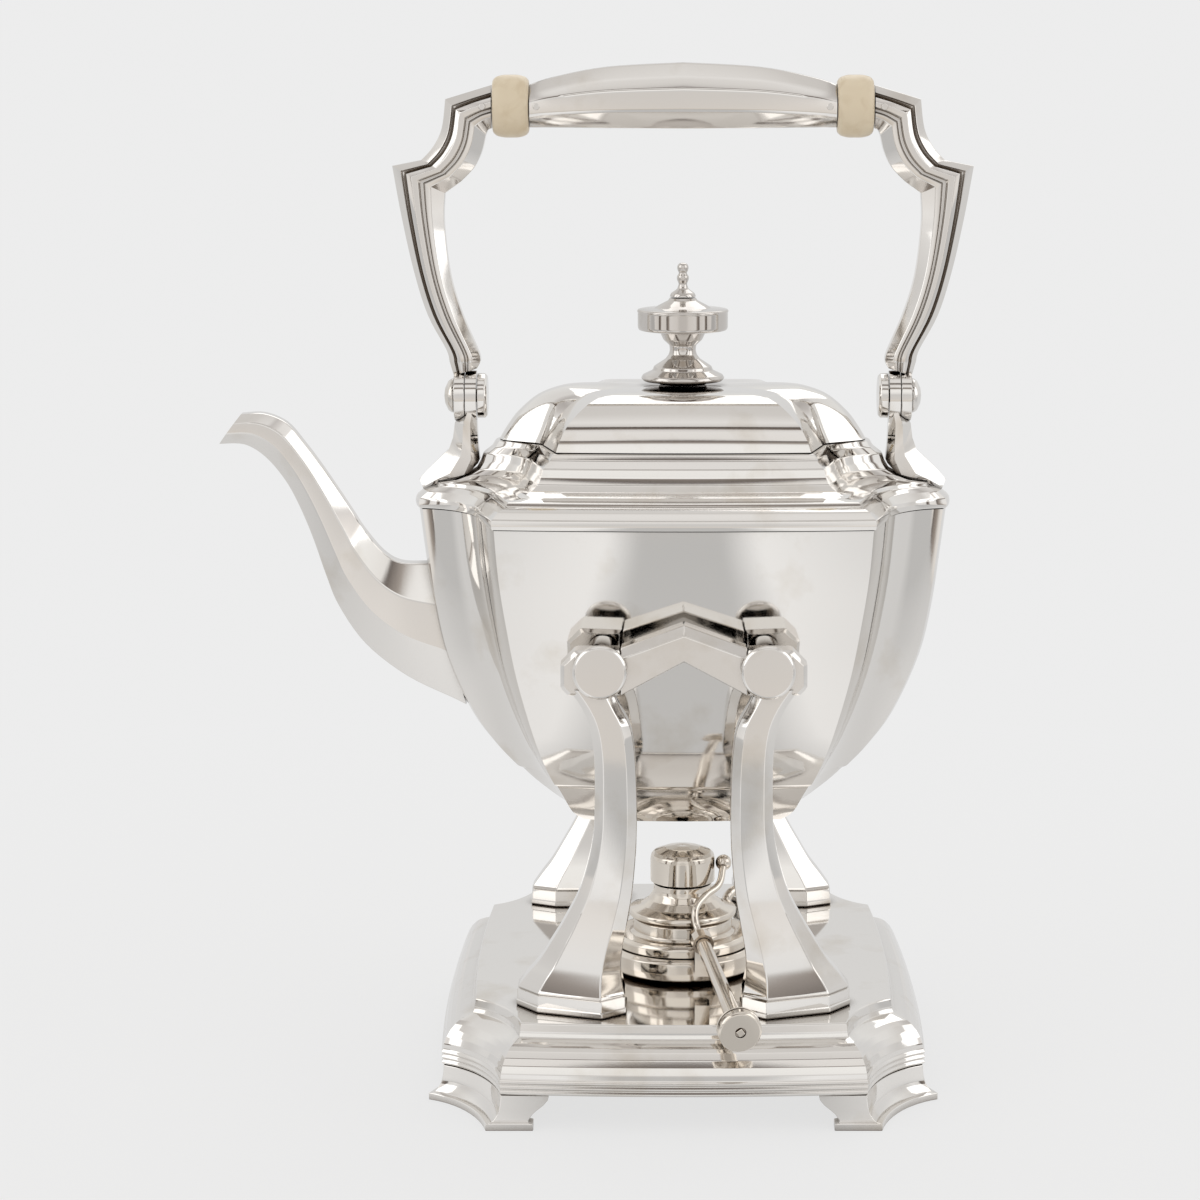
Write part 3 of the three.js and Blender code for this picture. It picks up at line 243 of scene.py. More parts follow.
def finishPiece(name, mesh, body, nodes=(), crease=30, bevel=0.0, material=None, slotName="silver"):
    piece = bpy.data.objects.new(name, mesh)
    bpy.context.scene.collection.objects.link(piece)
    mesh.materials.clear()
    mesh.materials.append(material or silver)
    mesh.shade_smooth()
    mesh.set_sharp_from_angle(angle=math.radians(crease))
    if bevel:
        edge = piece.modifiers.new("softEdges", "BEVEL")
        edge.width = bevel * mm
        edge.segments = shading["bevelSegments"]
        edge.limit_method = "ANGLE"
        edge.angle_limit = math.radians(crease)
        edge.harden_normals = True
    # Large faces keep their own shading beside narrow eased edges
    flats = piece.modifiers.new("flats", "WEIGHTED_NORMAL")
    flats.keep_sharp = True
    flats.weight = shading["flatWeight"]
    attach(piece, body)
    if nodes:
        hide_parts(*nodes)


def meshFrom(name, points, faces):
    # Faces that look outwards, whichever way round the points were given
    mesh = bpy.data.meshes.new(name)
    mesh.from_pydata(points, [], faces)
    mesh.update()
    volume = 0
    for face in mesh.polygons:
        first, *rest = [mesh.vertices[i].co for i in face.vertices]
        for second, third in zip(rest, rest[1:]):
            volume += first.dot(second.cross(third))
    if volume < 0:
        mesh.flip_normals()
    return mesh


def bandFaces(count, spans, total):
    # Quads between neighbouring rings of so many points, from the last ring back to the first where closed
    faces = []
    for k in range(spans):
        low, high = k * count, (k + 1) % total * count
        for i in range(count):
            j = (i + 1) % count
            faces.append((low + i, low + j, high + j, high + i))
    return faces


def skinPiece(name, rings, body, nodes=(), crease=30, closed=False, **rest):
    count, total = len(rings[0]), len(rings)
    points = [place(*p) for ring in rings for p in ring]
    faces = bandFaces(count, total if closed else total - 1, total)
    if not closed:
        for ring, base in ((rings[0], 0), (rings[-1], (total - 1) * count)):
            middle = len(points)
            points.append(place(*[sum(p[k] for p in ring) / count for k in range(3)]))
            for i in range(count):
                faces.append((middle, base + i, base + (i + 1) % count)[::1 if base else -1])
    finishPiece(name, meshFrom(name, points, faces), body, nodes, crease, **rest)


def smoothRows(rows, steps):
    # Catmull-Rom through rows of numbers, end rows kept
    result = []
    last = len(rows) - 1
    for k in range(last):
        a, b, c, d = (rows[max(0, min(last, k + shift))] for shift in (-1, 0, 1, 2))
        for i in range(steps):
            t = i / steps
            result.append([
                0.5 * (2 * q + (r - p) * t + (2 * p - 5 * q + 4 * r - s) * t * t + (3 * q - p - 3 * r + s) * t ** 3)
                for p, q, r, s in zip(a, b, c, d)
            ])
    result.append(list(rows[-1]))
    return result


def softCorners(points, cut, closed=False):
    # Each corner of a line gives way to two points and a middle one
    result = []
    count = len(points)
    for i, point in enumerate(points):
        if not closed and i in (0, count - 1):
            result.append(tuple(point))
            continue
        here = Vector(point)
        before = Vector(points[i - 1]) - here
        after = Vector(points[(i + 1) % count]) - here
        if before.length < 1e-6 or after.length < 1e-6:
            continue
        start = here + before.normalized() * min(cut, before.length * 0.33)
        end = here + after.normalized() * min(cut, after.length * 0.33)
        result += [tuple(start), tuple(here * 0.5 + (start + end) * 0.25), tuple(end)]
    return result


def turnPiece(name, body, nodes, profile, origin=(0, 0, 0), axis=(0, 0, 1), crease=40, segments=96, soft=0.35,
              closed=False, squash=1.0, **rest):
    # Profile of radius and height, turned about an axis
    turn = Vector((0, 0, 1)).rotation_difference(Vector(axis).normalized())
    rings = []
    for radius, height in softCorners(profile, soft, closed):
        reach = max(radius, shading["leastRadius"])
        ring = []
        for i in range(segments):
            angle = math.tau * i / segments
            spot = Vector((reach * math.cos(angle), reach * math.sin(angle) * squash, height))
            ring.append(tuple(turn @ spot + Vector(origin)))
        rings.append(ring)
    skinPiece(name, rings, body, nodes, crease, closed, **rest)


# Plan lines: counts of points along a side, round a scoop and round a flute

bowSteps = 10
scoopSteps = 12
fluteSteps = 36


def planRing(plan, z, endZ=None, steps=scoopSteps):
    # Plan line with bowed sides and scooped corners, its ends at a height of their own
    endZ = z if endZ is None else endZ
    front, step, end = plan["front"], plan.get("step"), plan["end"]
    quarter = []
    for i in range(bowSteps + 1):
        t = i / bowSteps
        quarter.append((front[0] * t, front[1] + plan["frontBow"] * (1 - t * t), z))
    start = step or front
    if step:
        quarter.append((*step, z))
    for i in range(1, steps + 1):
        t = i / steps
        turn = t * math.pi / 2
        straight = [s + (e - s) * t for s, e in zip(start, end)]
        hollow = [end[0] - (end[0] - start[0]) * math.cos(turn), start[1] + (end[1] - start[1]) * math.sin(turn)]
        x, y = [s + (h - s) * plan["scoop"] for s, h in zip(straight, hollow)]
        quarter.append((x, y, z + (endZ - z) * t))
    half = max(2, bowSteps // 2)
    for i in range(1, half + 1):
        t = i / half
        quarter.append((end[0] + plan["endBow"] * (1 - (1 - t) ** 2), end[1] * (1 - t), endZ))
    right = [(x, -y, h) for x, y, h in quarter] + quarter[::-1][1:]
    left = [(-x, y, h) for x, y, h in right[::-1][1:-1]]
    return right + left


def grown(plan, distance, corner=1.0):
    (fx, fy), (ex, ey) = plan["front"], plan["end"]
    result = dict(plan)
    result["front"] = (fx + distance * corner, fy + distance)
    result["end"] = (ex + distance, ey + distance * corner)
    if plan.get("step"):
        sx, sy = plan["step"]
        result["step"] = (sx + distance, sy + distance * corner)
    return result


copied = {"weld": 0.02, "flat": 1.2, "crease": 28}


def polishedCopy(name, node, body, bevel, material=None, slotName="silver"):
    # The solid's own shape, merged, with eased edges
    whole = bpy.data.objects.new(name, bpy.data.objects[node].data.copy())
    bpy.context.scene.collection.objects.link(whole)
    weld = whole.modifiers.new("weld", "WELD")
    weld.merge_threshold = copied["weld"] * mm
    flat = whole.modifiers.new("flat", "DECIMATE")
    flat.decimate_type = "DISSOLVE"
    flat.angle_limit = math.radians(copied["flat"])
    merged = bpy.data.meshes.new_from_object(whole.evaluated_get(bpy.context.evaluated_depsgraph_get()))
    bpy.data.objects.remove(whole)
    finishPiece(name, merged, body, [node], copied["crease"], bevel, material, slotName)


# Kettle: body, shoulder and lid share the plans at the rim and at the lid's seam
# Rows of the body: share of its height, then shares of the rim's end, width and depth
# Rows of the lid: shares of the seam's front and end, then shares of the rise there

kettle = {
    "floor": 93.3,
    "top": 207.7,
    "wall": 1.8,
    "seam": 232.6,
    "lidRise": 22.6,
    "rim": {"front": (68, 66), "step": (73.5, 44), "end": (97.3, 12), "frontBow": 3.5, "endBow": 2, "scoop": 0.85},
    "seamPlan": {"front": (45.8, 44), "step": (51, 22), "end": (66.5, 7), "frontBow": 2, "endBow": 1.5, "scoop": 0.85},
    "bodyRows": [
        [0, 0.4, 0.54, 0.4],
        [0.035, 0.47, 0.6, 0.47],
        [0.095, 0.56, 0.645, 0.553],
        [0.138, 0.613, 0.678, 0.604],
    ],
    "wallRows": [
        [0.145, 0.633, 0.693, 0.622],
        [0.213, 0.707, 0.74, 0.69],
        [0.325, 0.8, 0.8, 0.78],
        [0.512, 0.896, 0.88, 0.865],
        [0.676, 0.94, 0.93, 0.91],
        [0.843, 0.967, 0.97, 0.955],
        [1, 0.99, 0.99, 0.985],
    ],
    "shoulderOut": [
        (-0.07, 232.6), (0, 232.6), (0.05, 232.4), (0.09, 230.2), (0.2, 227.5), (0.23, 224.6), (0.28, 222),
        (0.385, 220), (0.56, 218.2), (0.75, 217.2), (0.77, 215.8), (0.8, 215.6), (0.9, 214.2), (1, 211.6),
        (1.012, 209.8), (1, 208),
    ],
    "shoulderIn": [(0.94, 208), (0.92, 210.4), (0.7, 214.2), (0.36, 217), (0.2, 221), (0.12, 225.5), (-0.07, 230.2)],
    "lidRows": [
        [1, 1, 0, 0],
        [0.968, 0.958, 0.19, 0.21],
        [0.9, 0.9, 0.43, 0.44],
        [0.78, 0.8, 0.67, 0.7],
        [0.68, 0.7, 0.79, 0.83],
        [0.6, 0.6, 0.84, 0.885],
        [0.44, 0.44, 0.865, 0.895],
        [0.2, 0.2, 0.87, 0.875],
    ],
    "dome": -0.5,
    "fluteLean": 0.16,
    "lidWall": 1.8,
    "footScoop": (0.25, 1.3),
    "bodySteps": 3,
    "wallSteps": 4,
    "lidSteps": 10,
    "crease": 24,
    "shoulderEase": 0.45,
}


def bodyPlan(row):
    height, endShare, acrossShare, deepShare = row
    rim = kettle["rim"]
    frontX, frontY = rim["front"][0] * acrossShare, rim["front"][1] * deepShare
    endX, endY = rim["end"][0] * endShare, rim["end"][1] * (deepShare + 1) / 2
    stepX = (rim["step"][0] - rim["front"][0]) / (rim["end"][0] - rim["front"][0])
    stepY = (rim["step"][1] - rim["end"][1]) / (rim["front"][1] - rim["end"][1])
    plan = dict(rim)
    plan["front"] = (frontX, frontY)
    plan["step"] = (frontX + (endX - frontX) * stepX, endY + (frontY - endY) * stepY)
    plan["end"] = (endX, endY)
    least, growth = kettle["footScoop"]
    plan["scoop"] = rim["scoop"] * min(1, least + height * growth)
    return plan


def bodyRings(letOut, lift):
    rise = kettle["top"] - kettle["floor"]
    rings = []
    rows = smoothRows(kettle["bodyRows"], kettle["bodySteps"])
    rows += smoothRows(kettle["wallRows"], kettle["wallSteps"])
    for row in rows:
        rings.append(planRing(grown(bodyPlan(row), letOut), kettle["floor"] + rise * row[0] + lift * (1 - row[0])))
    return rings


def between(share):
    a, b = kettle["seamPlan"], kettle["rim"]
    plan = {}
    for key in ("front", "step", "end"):
        plan[key] = tuple(p + (q - p) * share for p, q in zip(a[key], b[key]))
    for key in ("frontBow", "endBow", "scoop"):
        plan[key] = a[key] + (b[key] - a[key]) * share
    return plan


def lidRing(row, wall):
    # Rounded plan, cut at its corners by upright flutes that lean in with the height
    frontShare, endShare, frontRise, endRise = row
    seam = kettle["seamPlan"]
    drop = 0 if frontRise == 0 else wall
    low = kettle["seam"] + gap - drop
    plan = {
        "front": tuple(v * frontShare for v in seam["front"]),
        "step": tuple(v * (frontShare + endShare) / 2 for v in seam["step"]),
        "end": tuple(v * endShare for v in seam["end"]),
        "frontBow": seam["frontBow"] * frontShare,
        "endBow": seam["endBow"] * endShare,
        "scoop": kettle["dome"],
    }
    heights = low + kettle["lidRise"] * frontRise, low + kettle["lidRise"] * endRise
    domed = planRing(grown(plan, -wall), *heights, fluteSteps)
    lean = 1 - kettle["fluteLean"] * max(frontRise, endRise)
    fluted = planRing(grown(seam, -wall), *heights, fluteSteps)
    ring = []
    for (x, y, z), (fx, fy, _) in zip(domed, fluted):
        keep = min(1, math.hypot(fx, fy) * lean / max(math.hypot(x, y), 1e-6))
        inCorner = abs(x) > plan["step"][0] and abs(y) > plan["end"][1]
        ring.append((x * keep, y * keep, z) if inCorner else (x, y, z))
    return ring


def makeKettle():
    crease = kettle["crease"]
    rings = bodyRings(0, 0) + bodyRings(-kettle["wall"], kettle["wall"])[::-1]
    skinPiece("kettle_bowl", rings, "kettle", ["kettle_body"], crease)
    span = kettle["rim"]["front"][1] - kettle["seamPlan"]["front"][1]
    line = [(share * span, z) for share, z in kettle["shoulderOut"] + kettle["shoulderIn"]]
    rings = [planRing(between(x / span), z) for x, z in softCorners(line, kettle["shoulderEase"], True)]
    skinPiece("kettle_shoulder", rings, "kettle", ["shoulder"], crease, True)
    rows = smoothRows(kettle["lidRows"], kettle["lidSteps"])
    rings = [lidRing(row, 0) for row in rows[::-1]] + [lidRing(row, kettle["lidWall"]) for row in rows]
    skinPiece("domed_lid", rings, "lid", ["lid"], crease)
    print("kettle made")


makeKettle()

# Lugs that hang the kettle on its pins: closed eyes on the pouring side, hooks open below on the other

lug = {
    "x": 29.5,
    "height": 161,
    "radius": 5.6,
    "root": 60.6,
    "face": 68.6,
    "bore": 3.3,
    "mouth": 36,
    "ease": 0.5,
    "boreEase": 0.3,
    "eyeSteps": 60,
    "hookSteps": 48,
    "crease": 35,
}


def eyeRing(signX, signY, turn):
    # Section beside the bore: near, far and the eased face between
    bore, radius, root, face = lug["bore"], lug["radius"], lug["root"], lug["face"]
    ease, boreEase = lug["ease"], lug["boreEase"]
    section = [
        (bore, root), (radius, root), (radius, face - ease), (radius - ease, face), (bore + boreEase, face),
        (bore, face - boreEase),
    ]
    alongX, alongZ = math.cos(turn), math.sin(turn)
    return [(signX * lug["x"] + r * alongX, signY * y, lug["height"] + r * alongZ) for r, y in section]


def makeLugs():
    eye = [math.tau * i / lug["eyeSteps"] for i in range(lug["eyeSteps"])]
    mouth = math.radians(lug["mouth"])
    steps = lug["hookSteps"]
    hook = [-math.pi / 2 + mouth + (math.tau - 2 * mouth) * i / steps for i in range(steps + 1)]
    for signX, turns in ((-1, eye), (1, hook)):
        for signY in (-1, 1):
            rings = [eyeRing(signX, signY, turn) for turn in turns]
            name = f"kettle_lug_{signX}_{signY}".replace("-", "m")
            skinPiece(name, rings, "kettle", crease=lug["crease"], closed=turns is eye)


makeLugs()

# Spout: stations from the root out, upper point, lower point and half width

spout = {
    "stations": [
        [-93.5, 186, -81.5, 132, 9.3],
        [-96, 186, -86, 134.3, 9.2],
        [-105.5, 186.4, -103.7, 143, 8.8],
        [-112.2, 190.4, -119, 155.2, 8.2],
        [-119.2, 199, -128.8, 169.5, 7.6],
        [-122.8, 204.8, -133.4, 181, 7.2],
        [-129, 214.5, -138.3, 195.7, 6.8],
        [-134.8, 223.2, -143.2, 207.8, 6.5],
        [-140.5, 231, -148.2, 217.2, 6.3],
        [-147, 238.6, -155.3, 225.8, 6.4],
        [-155.4, 242.2, -163, 230.5, 6.7],
        [-163.9, 242, -172.4, 230.7, 7],
    ],
    "wall": 1.3,
    "steps": 5,
    "crease": 26,
    "section": [(1, -0.42), (0.72, -1), (0.38, -1), (0, -0.36), (0, 0.36), (0.38, 1), (0.72, 1), (1, 0.42)],
}


def pairRing(station, section, wall=0.0, soft=0.6):
    # Faceted section between an upper and a lower point
    upperX, upperZ, lowerX, lowerZ, half = station
    height = math.hypot(upperX - lowerX, upperZ - lowerZ)
    keep = (height - 2 * wall) / height
    flat = [((along - 0.5) * keep * height, across * (half - wall), 0) for along, across in section]
    ring = []
    for along, across, _ in softCorners(flat, soft, True):
        share = along / height
        x = (upperX + lowerX) / 2 + (upperX - lowerX) * share
        z = (upperZ + lowerZ) / 2 + (upperZ - lowerZ) * share
        ring.append((x, across, z))
    return ring


def makeSpout():
    stations = smoothRows(spout["stations"], spout["steps"])
    outer = [pairRing(station, spout["section"]) for station in stations]
    inner = [pairRing(station, spout["section"], spout["wall"]) for station in stations]
    skinPiece("spout_tube", outer + inner[::-1], "kettle", ["spout"], spout["crease"], True)


makeSpout()
print("spout made")

# Bail: arms in mitred lengths, barrel grip and the rings between them

bail = {
    "pivotHeight": 248.6,
    "gripHeight": 354.9,
    "armRoot": [85, 256.5, 76.2, 258.9, 4.6],
    "lengths": [
        [[86.4, 261.5, 75, 261, 6.2], [87.6, 266, 75.4, 264.8, 6.6], [94.3, 278.8, 81.3, 278.8, 6.8],
         [99.2, 295, 85.6, 293.5, 7], [103.4, 314.7, 87.7, 312.2, 7.2], [106.6, 333.3, 87.3, 323.4, 7.4]],
        [[106.6, 333.3, 87.3, 323.4, 7.4], [96, 335.4, 81.5, 327.5, 7.2]],
        [[96, 335.4, 81.5, 327.5, 7.2], [91.6, 340.2, 76.6, 332.6, 7.2], [88.3, 347, 73.6, 338.6, 7.4],
         [86.9, 357.5, 72.2, 344.4, 7.8]],
        [[86.9, 357.5, 72.2, 344.4, 7.8], [78, 360.2, 71.2, 346.4, 8], [70, 362.6, 70, 346.9, 8]],
    ],
    "section": [(1, -0.3), (0.78, -0.72), (0.6, -1), (0.28, -0.94), (0, -0.4),
                (0, 0.4), (0.28, 0.94), (0.6, 1), (0.78, 0.72), (1, 0.3)],
    "armSection": [(1, -0.3), (0.83, -0.66), (0.8, -0.52), (0.75, -0.58), (0.72, -0.86), (0.62, -1), (0.5, -0.98),
                   (0.46, -0.8), (0.4, -0.8), (0.36, -0.94), (0.26, -0.9), (0, -0.4),
                   (0, 0.4), (0.26, 0.9), (0.36, 0.94), (0.4, 0.8), (0.46, 0.8), (0.5, 0.98),
                   (0.62, 1), (0.72, 0.86), (0.75, 0.58), (0.8, 0.52), (0.83, 0.66), (1, 0.3)],
    "grip": [[56, 362.8, 347.2, 8.2], [48, 365.4, 347.2, 9.2], [28, 369.2, 347, 10.2], [0, 370.8, 346.8, 10.6]],
    "ringInner": 56.3,
    "ringOuter": 69.7,
    "ringHigh": 11.4,
    "ringDeep": 9.8,
    "ringProfile": [(0, 0), (0.82, 0), (0.94, 0.1), (1, 0.3), (1, 0.7), (0.94, 0.9), (0.82, 1), (0, 1)],
    "knuckle": {"from": 80.75, "profile": [(0, 0), (9.3, 0), (9.3, 4), (0, 4)]},
    "armSteps": 5,
    "bridgeSteps": 2,
    "gripSteps": 6,
    "armEase": 0.25,
    "gripEase": 0.9,
    "armCrease": 26,
    "gripCrease": 22,
}


def armStations():
    stations = [bail["armRoot"]]
    for length in bail["lengths"]:
        stations += smoothRows(length, bail["armSteps"] if len(length) > 2 else bail["bridgeSteps"])[:-1]
    return stations + [bail["lengths"][-1][-1]]


def makeArm(side, sign):
    rings = [pairRing(station, bail["armSection"], 0, bail["armEase"]) for station in armStations()]
    rings = [[(sign * x, y, z) for x, y, z in ring] for ring in rings]
    skinPiece(f"bail_limb_{side}", rings, "bail", [f"bail_arm_{side}"], bail["armCrease"])
    knuckle, axis = bail["knuckle"], (sign, 0, 0)
    origin = (sign * knuckle["from"], 0, bail["pivotHeight"])
    turnPiece(f"bail_knuckle_{side}", "bail", (), knuckle["profile"], origin, axis, crease=35, segments=64, soft=0.4)
    width, high = bail["ringOuter"] - bail["ringInner"], bail["ringHigh"]
    profile = [(high * radius, width * along) for radius, along in bail["ringProfile"]]
    origin = (sign * bail["ringInner"], 0, bail["gripHeight"])
    turnPiece(f"ivory_ring_{side}", "bail", [f"insulator_ring_{side}"], profile, origin, axis, crease=50, segments=80,
              soft=1.0, squash=bail["ringDeep"] / high, material=agedIvory, slotName="ivory")


def makeGrip():
    half = smoothRows(bail["grip"], bail["gripSteps"])
    stations = [[-x, top, -x, low, deep] for x, top, low, deep in half]
    stations += [[x, top, x, low, deep] for x, top, low, deep in half[::-1][1:]]
    rings = [pairRing(station, bail["section"], 0, bail["gripEase"]) for station in stations]
    skinPiece("barrel_grip", rings, "bail", ["bail_grip"], bail["gripCrease"])


for side, sign in sideSigns.items():
    makeArm(side, sign)
makeGrip()
print("bail made")

# Turned pieces: profiles of radius and height, each about its own axis

lampSpot = (0, -22, 0)
onLid = {"body": "lid", "material": knobSilver}
onLamp = {"body": "lamp", "origin": lampSpot, "material": lampSilver}
overLamp = {"body": "snuffer", "origin": lampSpot, "material": lampSilver, "soft": 0.3, "closed": True}
turnings = {
    "knob_pedestal": (onLid, "knob_stem", [
        (0, 252.9), (8.8, 252.9), (9.2, 253.6), (14.6, 254.2), (15.5, 255.3), (14.8, 256.5), (11.2, 258.2),
        (10.7, 259.6), (6.4, 262.4), (5.2, 264), (4.8, 265.6), (5, 267.4), (7.2, 269.4), (8.6, 272.4), (0, 272.4)]),
    "knob_wheel": (onLid, "knob_disc", [
        (0, 272.7), (14.6, 272.7), (16.3, 273.1), (16.7, 274), (16.7, 279.6), (17, 280), (16.6, 280.7),
        (14.6, 281), (10.6, 281.2), (8.9, 282.2), (5.4, 284), (4.8, 285), (0, 285)]),
    "knob_finial": (onLid, "finial_tip", [
        (0, 285.3), (4.9, 285.3), (4.4, 286.6), (2.1, 288.2), (1.5, 290), (2.2, 291.6), (2.2, 292.8), (1.4, 294),
        (1.9, 294.9), (2.15, 296), (1.9, 297), (1.3, 297.6), (0, 297.9)]),
    "lamp_tank": (onLamp, "lamp_reservoir", [
        (0, 36), (25.8, 36), (27.6, 37.6), (27.8, 40), (27.6, 43.8), (25.9, 45.2), (0, 45.2)]),
    "lamp_steps": (onLamp, "lamp_shoulder", [
        (0, 45.5), (25.2, 45.5), (25.2, 48.4), (24.2, 49.7), (19.5, 49.7), (18.5, 50.8), (18.5, 54.8), (17.4, 56),
        (0, 56)]),
    "burner": (onLamp, "burner_cone", [
        (0, 56.3), (19.9, 56.3), (20.2, 57.4), (19.9, 58.6), (15.5, 60.1), (12.6, 62.3), (11.1, 64.6), (10.8, 66),
        (10.8, 68), (0, 68)]),
    "snuffer_bell": (overLamp, "snuffer_cap", [
        (11, 69), (12, 69), (12, 77.6), (11.7, 79), (10.6, 80.2), (6.6, 81.7), (3, 82.3), (0.1, 82.4), (0.1, 81.4),
        (6.6, 80.6), (11, 78.1)]),
}
for name, (common, node, profile) in turnings.items():
    turnPiece(name, nodes=[node], profile=profile, **common)

# Pins through ears and lugs, and studs that the bail turns on: distance along each counts outwards

pin = {
    "root": 65.2,
    "profile": [(0, 0), (2.4, 0), (3, 0.6), (3, 19.6), (4.4, 20), (8.9, 20.5), (9.6, 21.4), (9.6, 22.7),
                (8.7, 23.6), (0, 23.6)],
}
stud = {
    "profile": [(0, 72.45), (7.3, 72.45), (8.3, 73.4), (8.3, 76.1), (2.4, 76.15), (2.4, 85), (6.4, 85.05),
                (6.2, 86), (5.5, 87), (3, 88.2), (0, 88.65)],
}
for corner, (signX, signY) in cornerSigns.items():
    origin = (signX * lug["x"], -signY * pin["root"], lug["height"])
    turnPiece(f"pull_pin_{corner}", f"pin_{corner}", [f"pin_{corner}"], pin["profile"], origin, (0, -signY, 0),
              crease=35, segments=72, soft=0.3)
for side, sign in sideSigns.items():
    turnPiece(f"pivot_stud_{side}", "kettle", [f"pivot_pin_{side}"], stud["profile"], (0, 0, bail["pivotHeight"]),
              (sign, 0, 0), segments=72, soft=0.3)
print("turned pieces made")

# Pieces that keep their solid's shape: node, body, ease and, where it isn't silver, the finish

copies = {
    "arch_front": ("crossbar_front", "stand", 0.4),
    "arch_rear": ("crossbar_rear", "stand", 0.4),
    "hinge_plate": ("lid_hinge_leaf", "kettle", 0.15),
    "hinge_rod": ("lid_hinge_pin", "kettle", 0.1),
    "hinge_eye": ("lid_hinge_knuckle", "lid", 0.15),
    "inner_nut": ("knob_nut", "lid", 0.2),
    "wick_sleeve": ("wick_tube", "lamp", 0.1, lampSilver),
    "wick_braid": ("wick", "lamp", 0.1, braidedCotton, "cotton"),
    "lamp_saddle": ("tube_bracket", "lamp", 0.3, lampSilver),
}
for corner in cornerSigns:
    copies[f"nut_leg_nut_{corner}"] = (f"leg_nut_{corner}", "stand", 0.2)
for side in sideSigns:
    copies[f"bracket_{side}"] = (f"bail_bracket_{side}", "kettle", 0.3)
for name, entry in copies.items():
    polishedCopy(name, *entry)

# Legs: a shaft that spreads into a stepped foot, and a closed ear round the pin
# Rows: height, outer and inner edge, and how far the leg has spread into its foot

leg = {
    "front": 82,
    "back": 69.3,
    "earFront": 81.2,
    "earBack": 69.8,
    "ear": [(22.6, 167.6), (38.1, 167.6), (43.5, 162.2), (43.5, 154), (40.8, 151.3), (22.6, 151.3)],
    "earEdge": [(1.4, 0), (1.26, 0.1), (0.1, 1.26), (0, 1.4)],
    "bore": 3.4,
    "ease": 0.45,
    "plinthSpread": 0.95,
    "steps": 5,
    "earSteps": 72,
    "crease": 20,
    "earCrease": 22,
    "spreadFront": 90.3,
    "spreadBack": 59.6,
    "rows": [
        [153.5, 40.9, 25.5, 0],
        [147, 36.3, 22.5, 0],
        [140, 33.4, 19, 0],
        [131, 31.9, 17.4, 0],
        [117.7, 31.6, 16.7, 0],
        [99.5, 32.3, 16.7, 0.03],
        [81.4, 36.6, 18.1, 0.1],
        [69.2, 42.4, 20, 0.22],
        [60.5, 47.4, 21.6, 0.37],
        [53.3, 51.8, 22.4, 0.55],
        [48.5, 55.6, 22.2, 0.72],
        [43.4, 59.4, 21.2, 0.9],
    ],
    "plinth": [(42.9, 0.2), (42.2, -0.15), (41.9, 0.5), (38.1, 0.5), (37.7, 0.9), (36.4, 0.9), (36, 0.7)],
    "side": [1, 1, 0.8, 0.22, 0, 0, 0.23, 0.75],
    "shaft": [-0.5, 0.55, 1, 1, 0.55, -0.5, -1, -1],
    "foot": [-0.7, -0.2, 0.45, 1, 0.52, -0.35, -1, -1],
}


def legLoop(height, outer, inner, spread, out=0.0):
    # Eight-sided line of a leg with eased corners
    middle, half = (leg["front"] + leg["back"]) / 2, (leg["front"] - leg["back"]) / 2
    footMiddle = (leg["spreadFront"] + leg["spreadBack"]) / 2
    footHalf = (leg["spreadFront"] - leg["spreadBack"]) / 2
    points = []
    for side, shaft, foot in zip(leg["side"], leg["shaft"], leg["foot"]):
        x = inner + (outer - inner) * side
        y = (middle + half * shaft) * (1 - spread) + (footMiddle + footHalf * foot) * spread
        points.append(Vector((x, y, height)))
    centre = sum(points, Vector()) / len(points)
    if out:
        points = [p + (p - centre).normalized() * out for p in points]
    return softCorners([tuple(p) for p in points], leg["ease"], True)


def earLoop(inset, depth):
    # Where rays from the pin meet the ear's outline
    outline, count = leg["ear"], leg["earSteps"]
    loop = []
    for i in range(count):
        turn = math.tau * i / count
        way = (math.cos(turn), math.sin(turn))
        reach = math.inf
        for (x1, z1), (x2, z2) in zip(outline, outline[1:] + outline[:1]):
            ex, ez = x2 - x1, z2 - z1
            cross = way[0] * ez - way[1] * ex
            if abs(cross) < 1e-9:
                continue
            px, pz = x1 - lug["x"], z1 - lug["height"]
            distance = (px * ez - pz * ex) / cross
            along = (px * way[1] - pz * way[0]) / cross
            if distance > 0 and -1e-6 <= along <= 1 + 1e-6:
                reach = min(reach, distance)
        reach -= inset
        loop.append((lug["x"] + way[0] * reach, depth, lug["height"] + way[1] * reach))
    return loop


def boreLoop(radius, depth):
    turns = [math.tau * i / leg["earSteps"] for i in range(leg["earSteps"])]
    return [(lug["x"] + radius * math.cos(turn), depth, lug["height"] + radius * math.sin(turn)) for turn in turns]


def makeLegs():
    shaft = [legLoop(*row) for row in smoothRows(leg["rows"], leg["steps"])]
    _, outer, inner, _ = leg["rows"][-1]
    shaft += [legLoop(height, outer, inner, leg["plinthSpread"], out) for height, out in leg["plinth"]]
    front, back = leg["earFront"], leg["earBack"]
    ear = [earLoop(inset, front - depth) for inset, depth in leg["earEdge"]]
    ear += [earLoop(inset, back + depth) for inset, depth in leg["earEdge"][::-1]]
    ear += [boreLoop(leg["bore"], back), boreLoop(leg["bore"], front)]
    for corner, (signX, signY) in cornerSigns.items():
        turned = [[[(signX * x, -signY * y, z) for x, y, z in loop] for loop in rings] for rings in (shaft, ear)]
        skinPiece(f"stand_leg_{corner}", turned[0], "stand", [f"leg_{corner}"], leg["crease"])
        skinPiece(f"leg_ear_{corner}", turned[1], "stand", crease=leg["earCrease"], closed=True)


makeLegs()
print("legs made")

# Tray: raised plate, rounded border and three reeds

